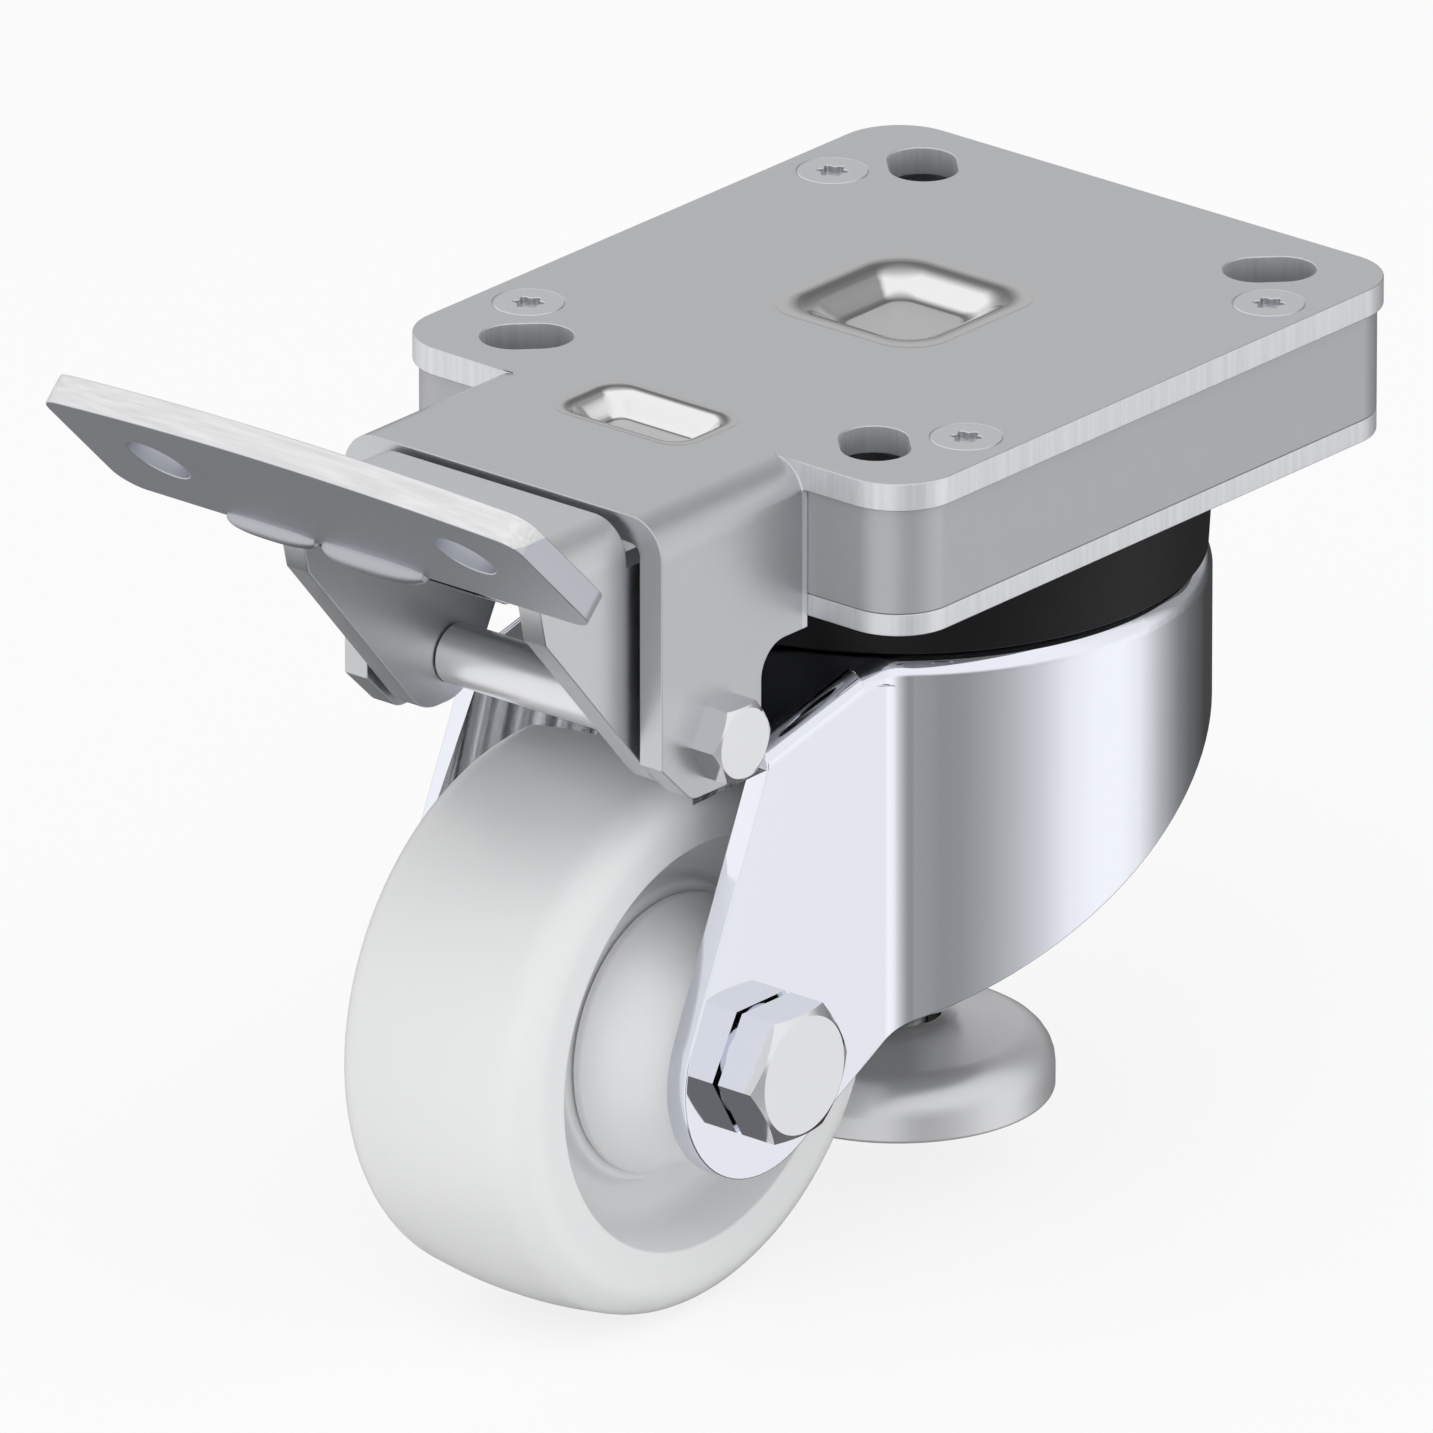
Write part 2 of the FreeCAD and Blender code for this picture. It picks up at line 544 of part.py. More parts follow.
def make_top_plate():
    plate = padded("plate_blank", "XY_Plane",
                   rectangle("Sizes.plate_length / 2", "Sizes.plate_width / 2"),
                   "Sizes.plate_sheet", "-Sizes.plate_sheet", all_round(4, "Sizes.plate_corner"))
    depth = "(-Sizes.pivot_z - Sizes.cheek_round - 5)"
    half = "Sizes.tongue_half"
    inside = "(Sizes.tongue_half - Sizes.plate_sheet)"
    channel = padded("tongue_channel", "YZ_Plane", [
        ("-" + half, depth), ("-" + half, "0"), (half, "0"), (half, depth),
        (inside, depth), (inside, "-Sizes.plate_sheet"),
        ("-" + inside, "-Sizes.plate_sheet"), ("-" + inside, depth)],
        "Sizes.tongue_reach - Sizes.plate_length / 2 + Sizes.overhang", "-Sizes.tongue_reach",
        {1: "Sizes.tongue_bend", 2: "Sizes.tongue_bend",
         5: "Sizes.tongue_bend - Sizes.plate_sheet", 6: "Sizes.tongue_bend - Sizes.plate_sheet"})
    wall = "(-Sizes.plate_length / 2 + Sizes.overhang)"
    low = "(-Sizes.pivot_z - Sizes.cheek_round)"
    corner_drop = "-Sizes.pivot_z - Sizes.cheek_corner_drop"
    side = padded("cheek_side", "XZ_Plane", [
        (wall, "1"), ("-Sizes.tongue_reach - 1", "1"), ("-Sizes.tongue_reach - 1", corner_drop),
        ("-Sizes.tongue_reach", corner_drop), ("-Sizes.tongue_reach + Sizes.cheek_corner_back", low),
        ("-Sizes.cheek_back", low), ("-Sizes.cheek_back", "-Sizes.cheek_shoulder"),
        (wall, "-Sizes.cheek_shoulder")],
        "2 * Sizes.tongue_half + 2", None,
        {4: "Sizes.cheek_corner_round", 5: "Sizes.cheek_round", 6: "Sizes.cheek_shoulder_round"})
    tongue = common("tongue", channel, side)
    big = ("Sizes.recess_x", "Sizes.recess_length", "Sizes.recess_width",
           "Sizes.recess_flat", "Sizes.recess_flat", "Sizes.recess_corner", "Sizes.recess_flat_corner")
    small = ("-Sizes.tongue_recess_x", "Sizes.tongue_recess_length", "Sizes.tongue_recess_width",
             "Sizes.tongue_flat_length", "Sizes.tongue_flat_width",
             "Sizes.tongue_recess_corner", "Sizes.tongue_flat_corner")
    bulges = [recess("recess_bulge", *big, "-Sizes.plate_sheet", "(-1)"),
              recess("tongue_bulge", *small, "-Sizes.plate_sheet", "0")]
    dishes = [recess("recess_dish", *big, "0", "0"), recess("tongue_dish", *small, "0", "0")]
    blank = fuse("top_blank", plate, tongue, *bulges)
    sinks = [cone("screw_sink_%d" % i, "Sizes.screw_head / 2 - Sizes.screw_head_depth",
                  "Sizes.screw_head / 2", "Sizes.screw_head_depth", "%d * Sizes.screw_x" % sx,
                  "%d * Sizes.screw_y" % sy, "-Sizes.screw_head_depth")
             for i, (sx, sy) in enumerate(SIDES)]
    pivot = rod("tongue_pivot_hole", "Sizes.pivot_radius + Sizes.running", "2 * Sizes.tongue_half + 2",
                "-Sizes.pivot_x", "-Sizes.tongue_half - 1", "-Sizes.pivot_z", "Y")
    holes = screw_holes("top_screw_hole", "Sizes.screw_shank / 2 + Sizes.running")
    keep(cut("top_sheet", blank, *dishes, *slots("top_slot"), *sinks, *holes, pivot), "top_plate")


def make_housing():
    half_x = "(Sizes.plate_length / 2 - Sizes.overhang)"
    half_y = "(Sizes.plate_width / 2 - Sizes.overhang)"
    corner = "Sizes.plate_corner - Sizes.overhang"
    outside = padded("frame_outside", "XY_Plane", rectangle(half_x, half_y), "Sizes.frame_height",
                     "-" + BASE_TOP, all_round(4, corner))
    inside = padded("frame_inside", "XY_Plane",
                    rectangle(half_x + " - Sizes.frame_wall", half_y + " - Sizes.frame_wall"),
                    "Sizes.frame_height", "-" + BASE_TOP, all_round(4, corner + " - Sizes.frame_wall"))
    window = box("frame_window", "Sizes.frame_wall + 2", "2 * Sizes.window_half", "Sizes.frame_height",
                 "-%s - 1" % half_x, "-Sizes.window_half", "-" + BASE_TOP)
    wall = cut("frame_wall_ring", outside, inside)
    posts = [rod("frame_post_%d" % i, "Sizes.post_radius", "Sizes.frame_height",
                 "%d * Sizes.screw_x" % sx, "%d * Sizes.screw_y" % sy, "-" + BASE_TOP)
             for i, (sx, sy) in enumerate(SIDES)]
    posts_inside = common("frame_posts", fuse("frame_post_set", *posts), outside)
    holes = screw_holes("frame_screw_hole", "Sizes.screw_shank / 2 + Sizes.running")
    keep(cut("frame_solid", fuse("frame_with_posts", wall, posts_inside), window, *holes),
         "housing_frame")
    base = padded("base_blank", "XY_Plane", rectangle(half_x, half_y), "Sizes.base_sheet",
                  "-" + THROUGH, all_round(4, corner))
    middle = rod("base_hole", "Sizes.cup_inner + Sizes.cup_wall", "Sizes.base_sheet + 2",
                 z="-%s - 1" % THROUGH)
    threads = screw_holes("base_screw_hole", "Sizes.screw_shank / 2 + Sizes.running")
    keep(cut("base_solid", base, middle, *threads, *slots("base_slot")), "base_plate")
    screws = []
    for i, (sx, sy) in enumerate(SIDES):
        x = "%d * Sizes.screw_x" % sx
        y = "%d * Sizes.screw_y" % sy
        head = cone("screw_head_%d" % i, "Sizes.screw_head / 2 - Sizes.screw_head_depth",
                    "Sizes.screw_head / 2", "Sizes.screw_head_depth", x, y, "-Sizes.screw_head_depth")
        shank = rod("screw_shank_%d" % i, "Sizes.screw_shank / 2", THROUGH + " + Sizes.screw_end", x, y,
                    "-%s - Sizes.screw_end" % THROUGH)
        screws.append(fuse("screw_%d" % i, head, shank))
    keep(group("screw_set", *screws), "housing_screws")


def bolt_head(name, flats, height, x, y, z, along, chamfer_end):
    """A hexagon with its outer end chamfered, as on a bolt head or a nut."""
    prism = hexagon(name + "_prism", flats, height, x, y, z, along)
    wide = "((%s) / sqrt(3) + 0.2)" % flats
    narrow = "((%s) / 2 * 0.95)" % flats
    slope = "(%s - %s) * tan(30)" % (wide, narrow)
    if chamfer_end == "high":
        points = [("0", "0"), (wide, "0"), (wide, "(%s) - %s" % (height, slope)), (narrow, height),
                  ("0", height)]
    else:
        points = [("0", "0"), (narrow, "0"), (wide, slope), (wide, height), ("0", height)]
    return common(name, prism, turned(name + "_envelope", points, x, y, z, along))


def balls(name, count, radius, circle, x="0", y="0", z="0", along="Z"):
    """A ring of balls about an axis."""
    solids = []
    for i in range(int(size(count))):
        angle = 2 * math.pi * i / int(size(count))
        place = doc.addObject("Part::Sphere", "%s_%d" % (name, i))
        bind(place, Radius=radius)
        first = "(%s) * %.6f" % (circle, math.cos(angle))
        second = "(%s) * %.6f" % (circle, math.sin(angle))
        if along == "Z":
            put(place, "%s + %s" % (x, first), "%s + %s" % (y, second), z)
        else:
            put(place, "%s + %s" % (x, first), y, "%s + %s" % (z, second))
        solids.append(place)
    return group(name, *solids)


# Swivel: guide cup and plunger sleeve, cover ring, and two rings of balls.
def make_swivel():
    inner = "Sizes.cup_inner"
    outer = "Sizes.cup_inner + Sizes.cup_wall"
    floor = "-Sizes.cup_floor"
    under = "-Sizes.cup_floor - Sizes.cup_floor_height"
    bore = "Sizes.plunger_radius + Sizes.running"
    keep(turned("cup_turned", [
        (bore, "-Sizes.sleeve_end"), ("Sizes.sleeve_radius", "-Sizes.sleeve_end"),
        ("Sizes.sleeve_radius", under), (inner, under), (inner, "-Sizes.cup_end"),
        (outer, "-Sizes.cup_end"), (outer, "-" + BASE_TOP), (inner, "-" + BASE_TOP),
        (inner, floor), (bore, floor)]), "guide_cup")
    bottom = "-Sizes.deck_depth + Sizes.gap"
    narrow = "Sizes.seal_radius - Sizes.seal_taper"
    keep(turned("seal_turned", [
        (narrow + " - Sizes.seal_wall", bottom), (narrow, bottom), ("Sizes.seal_radius", "-" + THROUGH),
        ("Sizes.seal_radius - Sizes.seal_wall", "-" + THROUGH)]), "cover_ring")
    upper_ball = "-(Sizes.deck_depth + %s) / 2" % THROUGH
    groove = "Sizes.ball_radius + Sizes.running"

    def race(name, low, height, inside, ball_height):
        blank = ring(name + "_blank", "Sizes.race_outer", inside, height, z=low)
        track = doc.addObject("Part::Torus", name + "_track")
        bind(track, Radius1="Sizes.ball_circle", Radius2=groove)
        put(track, z=ball_height)
        return cut(name, blank, track)

    keep(race("race_under_base", "-%s - Sizes.race_height" % THROUGH, "Sizes.race_height",
              outer, upper_ball), "upper_fixed_race")
    turning = outer + " + Sizes.race_clearance"
    keep(race("race_on_deck", "-Sizes.deck_depth", "Sizes.race_height", turning, upper_ball),
         "upper_fork_race")
    keep(balls("upper_balls_set", "Sizes.ball_count", "Sizes.ball_radius", "Sizes.ball_circle",
               z=upper_ball), "upper_balls")
    deck_under = "(Sizes.deck_depth + Sizes.fork_sheet)"
    lower_ball = "-(%s + Sizes.cup_end) / 2" % deck_under
    keep(race("race_under_deck", "-%s - Sizes.lower_race_height" % deck_under, "Sizes.lower_race_height",
              turning, lower_ball), "lower_fork_race")
    keep(race("race_on_cup", "-Sizes.cup_end", "Sizes.lower_race_height", outer, lower_ball),
         "lower_fixed_race")
    keep(balls("lower_balls_set", "Sizes.ball_count", "Sizes.ball_radius", "Sizes.ball_circle",
               z=lower_ball), "lower_balls")


def touching_point(outside, centre, radius, side):
    """Where a line from a point outside touches a circle."""
    to_centre = centre - outside
    reach = math.sqrt(to_centre.Length ** 2 - radius ** 2)
    lean = math.atan2(radius, reach) * side
    along = math.atan2(to_centre.y, to_centre.x) + lean
    return outside + FreeCAD.Vector(math.cos(along), math.sin(along), 0) * reach


def constrain(sketch, kind, *where):
    """A driving dimension tied to a formula, which comes last in where."""
    number = sketch.addConstraint(Sketcher.Constraint(kind, *where[:-1], size(where[-1])))
    sketch.setExpression("Constraints[%d]" % number, str(where[-1]))


def fork_plan(body, name, inset):
    """Drum circle that runs through reflex bends into the two straight legs."""
    sketch = body.newObject("Sketcher::SketchObject", name)
    plane = [o for o in body.Origin.OriginFeatures if o.Role == "XY_Plane"][0]
    sketch.AttachmentSupport = (plane, "")
    sketch.MapMode = "FlatFace"
    drum_formula = "Sizes.drum_radius - %s" % inset
    half_formula = "Sizes.fork_half - %s" % inset
    blend_formula = "Sizes.fork_blend + %s" % inset
    drum = size(drum_formula)
    half = size(half_formula)
    blend = size(blend_formula)
    reach = size("Sizes.wheel_x + Sizes.fork_end_radius + 5")
    centre_x = -math.sqrt((drum + blend) ** 2 - (half + blend) ** 2)
    up = FreeCAD.Vector(0, 0, 1)
    origin = FreeCAD.Vector(0, 0, 0)
    meet = math.atan2(half + blend, centre_x)
    drum_arc = sketch.addGeometry(Part.ArcOfCircle(Part.Circle(origin, up, drum), -meet, meet), False)
    upper = FreeCAD.Vector(centre_x, half + blend, 0)
    upper_arc = sketch.addGeometry(
        Part.ArcOfCircle(Part.Circle(upper, up, blend), math.pi * 1.5, math.pi + meet + math.pi), False)
    lower = FreeCAD.Vector(centre_x, -half - blend, 0)
    lower_arc = sketch.addGeometry(
        Part.ArcOfCircle(Part.Circle(lower, up, blend), math.pi - meet, math.pi / 2), False)
    corners = [FreeCAD.Vector(centre_x, half, 0), FreeCAD.Vector(-reach, half, 0),
               FreeCAD.Vector(-reach, -half, 0), FreeCAD.Vector(centre_x, -half, 0)]
    sides = [sketch.addGeometry(Part.LineSegment(corners[i], corners[i + 1]), False) for i in range(3)]
    sketch.addConstraint([
        Sketcher.Constraint("Coincident", drum_arc, 3, -1, 1),
        Sketcher.Constraint("Tangent", drum_arc, 2, upper_arc, 2),
        Sketcher.Constraint("Tangent", upper_arc, 1, sides[0], 1),
        Sketcher.Constraint("Coincident", sides[0], 2, sides[1], 1),
        Sketcher.Constraint("Coincident", sides[1], 2, sides[2], 1),
        Sketcher.Constraint("Tangent", sides[2], 2, lower_arc, 2),
        Sketcher.Constraint("Tangent", lower_arc, 1, drum_arc, 1),
        Sketcher.Constraint("Horizontal", sides[0]),
        Sketcher.Constraint("Vertical", sides[1]),
        Sketcher.Constraint("Horizontal", sides[2]),
        Sketcher.Constraint("Equal", upper_arc, lower_arc),
    ])
    constrain(sketch, "Radius", drum_arc, drum_formula)
    constrain(sketch, "Radius", upper_arc, blend_formula)
    constrain(sketch, "DistanceY", -1, 1, sides[0], 2, half_formula)
    constrain(sketch, "DistanceY", -1, 1, sides[2], 1, "-(%s)" % half_formula)
    constrain(sketch, "DistanceX", -1, 1, sides[1], 1, "-(Sizes.wheel_x + Sizes.fork_end_radius + 5)")
    return sketch


def fork_form(name, inset, edge):
    """The fork's outside form, or the inside form when inset by the sheet."""
    body = new_body(name)
    sketch = fork_plan(body, name + "_plan", inset)
    top = "-Sizes.deck_depth - %s" % inset
    sketch.setExpression("AttachmentOffset.Base.z", top)
    pad = body.newObject("PartDesign::Pad", name + "_pad")
    pad.Profile = sketch
    pad.Reversed = True
    bind(pad, Length="Sizes.wheel_z + Sizes.fork_end_radius")
    end = "-(Sizes.wheel_x + Sizes.fork_end_radius + 10)"
    slope = ("(Sizes.deck_slope_drop - Sizes.deck_depth)"
             " / (Sizes.fork_front - Sizes.deck_slope_start)")
    drop = "(Sizes.wheel_x + Sizes.fork_end_radius + 10 - Sizes.deck_slope_start) * %s" % slope
    wedge = outline(body, name + "_slope", "XZ_Plane", [
        ("-Sizes.deck_slope_start", top), (end, "%s - %s" % (top, drop)), (end, top + " + 5"),
        ("-Sizes.deck_slope_start", top + " + 5")])
    pocket = body.newObject("PartDesign::Pocket", name + "_slope_cut")
    pocket.Profile = wedge
    pocket.Midplane = True
    bind(pocket, Length="3 * Sizes.fork_half")
    crease = -size("Sizes.deck_slope_start")
    far = -size("Sizes.wheel_x + Sizes.fork_end_radius + 4")
    low = size(top) - size(drop) - 0.01

    def on_top_rim(edge):
        if edge.BoundBox.ZMin < low or edge.BoundBox.XMax < far:
            return False
        across = abs(edge.BoundBox.XMax - crease) < 0.01 and abs(edge.BoundBox.XMin - crease) < 0.01
        return not across and not upright(edge) and edge.BoundBox.XMin > -200

    if edge:
        rounded(body, name + "_edge", edge, on_top_rim)
    return body


def leg_outline(body, name):
    """Side view of the fork: leg with its round end, and the cut of the drum."""
    sketch = body.newObject("Sketcher::SketchObject", name)
    plane = [o for o in body.Origin.OriginFeatures if o.Role == "XZ_Plane"][0]
    sketch.AttachmentSupport = (plane, "")
    sketch.MapMode = "FlatFace"
    back = "Sizes.drum_radius + 5"
    formulas = [("-Sizes.fork_front", "-Sizes.fork_front_drop"), (back, "-Sizes.drum_back_depth"),
                (back, "-Sizes.deck_depth + 5"), ("-Sizes.fork_front", "-Sizes.deck_depth + 5")]
    front, rear, rear_top, front_top = [FreeCAD.Vector(size(u), size(v), 0) for u, v in formulas]
    centre = FreeCAD.Vector(-size("Sizes.wheel_x"), -size("Sizes.wheel_z"), 0)
    radius = size("Sizes.fork_end_radius")
    first = touching_point(front, centre, radius, -1)
    last = touching_point(rear, centre, radius, 1)
    from_angle = math.atan2(first.y - centre.y, first.x - centre.x)
    to_angle = math.atan2(last.y - centre.y, last.x - centre.x)
    if to_angle < from_angle:
        to_angle += 2 * math.pi
    up = FreeCAD.Vector(0, 0, 1)
    arc = sketch.addGeometry(Part.ArcOfCircle(Part.Circle(centre, up, radius), from_angle, to_angle), False)
    lines = [sketch.addGeometry(Part.LineSegment(a, b), False) for a, b in (
        (front, first), (last, rear), (rear, rear_top), (rear_top, front_top), (front_top, front))]
    sketch.addConstraint([
        Sketcher.Constraint("Tangent", lines[0], 2, arc, 1),
        Sketcher.Constraint("Tangent", arc, 2, lines[1], 1),
        Sketcher.Constraint("Coincident", lines[1], 2, lines[2], 1),
        Sketcher.Constraint("Coincident", lines[2], 2, lines[3], 1),
        Sketcher.Constraint("Coincident", lines[3], 2, lines[4], 1),
        Sketcher.Constraint("Coincident", lines[4], 2, lines[0], 1),
    ])
    constrain(sketch, "Radius", arc, "Sizes.fork_end_radius")
    constrain(sketch, "DistanceX", -1, 1, arc, 3, "-Sizes.wheel_x")
    constrain(sketch, "DistanceY", -1, 1, arc, 3, "-Sizes.wheel_z")
    for line, (u, v) in zip((lines[0], lines[2], lines[3], lines[4]), formulas):
        constrain(sketch, "DistanceX", -1, 1, line, 1, u)
        constrain(sketch, "DistanceY", -1, 1, line, 1, v)
    return sketch


def make_fork():
    outside = fork_form("fork_outside", "0", "Sizes.fork_edge")
    inside = fork_form("fork_inside", "Sizes.fork_sheet", None)
    shell = cut("fork_drawn", outside, inside)
    side = new_body("fork_side")
    sketch = leg_outline(side, "fork_side_outline")
    pad = side.newObject("PartDesign::Pad", "fork_side_pad")
    pad.Profile = sketch
    pad.Midplane = True
    bind(pad, Length="2 * Sizes.drum_radius + 4")
    trimmed = common("fork_trimmed", shell, side)
    hole = rod("fork_swivel_hole", "Sizes.fork_hole", "3 * Sizes.fork_sheet",
               z="-Sizes.deck_depth - 2 * Sizes.fork_sheet")
    axle_hole = rod("fork_axle_hole", "Sizes.axle_radius + Sizes.running", "2 * Sizes.fork_half + 4",
                    "-Sizes.wheel_x", "-Sizes.fork_half - 2", "-Sizes.wheel_z", "Y")
    keep(cut("fork_solid", trimmed, hole, axle_hole), "fork_shell")


# Wheel: nylon body, two ball bearings, and the axle bolt with its tubes.
AXLE = ("-Sizes.wheel_x", "0", "-Sizes.wheel_z")


def make_wheel():
    face = "Sizes.wheel_half"
    hub = "Sizes.hub_half"
    seat = "(Sizes.hub_half - Sizes.bearing_width)"
    web = "Sizes.web_half"
    rim = "Sizes.wheel_radius"
    stop = "Sizes.bearing_outer - Sizes.bearing_stop"
    hub_foot = "Sizes.hub_radius + Sizes.hub_draft"
    rim_foot = "Sizes.rim_inner - Sizes.wheel_draft"
    shoulder = "Sizes.wheel_radius - Sizes.tread_crown"
    flat = "Sizes.tread_flat"
    keep(turned("wheel_turned", [
        (stop, "-" + seat), ("Sizes.bearing_outer", "-" + seat), ("Sizes.bearing_outer", "-" + hub),
        ("Sizes.hub_radius", "-" + hub), (hub_foot, "-" + web), (rim_foot, "-" + web),
        ("Sizes.rim_inner", "-" + face), (shoulder, "-" + face), (rim, "-" + flat), (rim, flat),
        (shoulder, face), ("Sizes.rim_inner", face), (rim_foot, web), (hub_foot, web),
        ("Sizes.hub_radius", hub), ("Sizes.bearing_outer", hub), ("Sizes.bearing_outer", seat),
        (stop, seat)], *AXLE, along="Y",
        rounds={4: "Sizes.hub_round", 5: "Sizes.web_round", 7: "Sizes.wheel_corner",
                8: "Sizes.tread_round", 9: "Sizes.tread_round", 10: "Sizes.wheel_corner",
                12: "Sizes.web_round", 13: "Sizes.hub_round"}), "wheel")
    circle = "(Sizes.bearing_outer + Sizes.bearing_inner) / 2"
    width = "Sizes.bearing_width"
    outer_rings = []
    inner_rings = []
    shields = []
    ball_sets = []
    for side, low in (("left", "-" + hub), ("right", seat)):
        place = (AXLE[0], low, AXLE[2], "Y")
        outer_rings.append(ring("outer_ring_" + side, "Sizes.bearing_outer",
                                "Sizes.bearing_outer - Sizes.bearing_ring", width, *place))
        inner_rings.append(ring("inner_ring_" + side, "Sizes.bearing_inner + Sizes.bearing_ring",
                                "Sizes.bearing_inner", width, *place))
        ball_sets.append(balls("bearing_balls_" + side, "Sizes.bearing_balls", "Sizes.bearing_ball", circle,
                               AXLE[0], "%s + %s / 2" % (low, width), AXLE[2], "Y"))
        edge = "-%s + Sizes.gap" % hub
        if side == "right":
            edge = "%s - Sizes.gap - Sizes.shield_height" % hub
        shields.append(ring("shield_" + side, "Sizes.bearing_outer - Sizes.bearing_ring",
                            "Sizes.bearing_inner + Sizes.bearing_ring + Sizes.gap", "Sizes.shield_height",
                            AXLE[0], edge, AXLE[2], "Y"))
    keep(group("outer_ring_pair", *outer_rings), "bearing_outer_rings")
    keep(group("ball_pair", *ball_sets), "bearing_balls")
    keep(group("shield_pair", *shields), "bearing_shields")
    keep(group("inner_ring_pair", *inner_rings), "bearing_inner_rings")
    inside = "(Sizes.fork_half - Sizes.fork_sheet)"
    keep(ring("axle_tube_ring", "Sizes.bearing_inner", "Sizes.axle_radius + Sizes.running",
              "2 * " + inside, AXLE[0], "-" + inside, AXLE[2], "Y"), "axle_tube")
    collar = "Sizes.bearing_inner + Sizes.bearing_ring"
    keep(ring("middle_collar_ring", collar, "Sizes.bearing_inner", "2 * " + seat,
              AXLE[0], "-" + seat, AXLE[2], "Y"), "bearing_spacer")
    keep(group("collar_pair", thread_guard("left", "-", inside), thread_guard("right", "", inside)),
         "axle_collars")


def thread_guard(side, sign, inside):
    """An axle collar that widens to a cap over the hub's face and keeps threads out of the bearing."""
    bore = "Sizes.bearing_inner"
    collar = "Sizes.bearing_inner + Sizes.bearing_ring"
    wide = "(Sizes.hub_radius - Sizes.guard_step)"
    lip = sign + "(Sizes.hub_half + Sizes.guard_clearance)"
    shoulder = sign + "(Sizes.hub_half + Sizes.guard_clearance + Sizes.guard_edge)"
    roof = sign + "(%s - Sizes.guard_wall)" % inside
    return turned("thread_guard_" + side, [
        (bore, sign + inside), ("Sizes.guard_top", sign + inside), (wide, shoulder), (wide, lip),
        (wide + " - Sizes.guard_wall", lip), ("Sizes.guard_top - Sizes.guard_wall", roof), (collar, roof),
        (collar, sign + "Sizes.hub_half"), (bore, sign + "Sizes.hub_half")], *AXLE, along="Y")


def make_axle():
    leg = "Sizes.fork_half"
    head = bolt_head("axle_head_form", "Sizes.axle_flats", "Sizes.axle_head", AXLE[0],
                     "-%s - Sizes.axle_head" % leg, AXLE[2], "Y", "low")
    shank = rod("axle_shank", "Sizes.axle_radius",
                "2 * %s + Sizes.axle_nut_height + Sizes.bolt_end + 1" % leg, AXLE[0], "-%s - 1" % leg,
                AXLE[2], "Y")
    keep(fuse("axle_bolt_solid", head, shank), "axle_bolt")
    nut = bolt_head("axle_nut_form", "Sizes.axle_flats", "Sizes.axle_nut_height", AXLE[0], leg, AXLE[2],
                    "Y", "high")
    bore = rod("axle_nut_bore", "Sizes.axle_radius", "Sizes.axle_nut_height + 2", AXLE[0], leg + " - 1",
               AXLE[2], "Y")
    keep(cut("axle_nut_solid", nut, bore), "axle_nut")


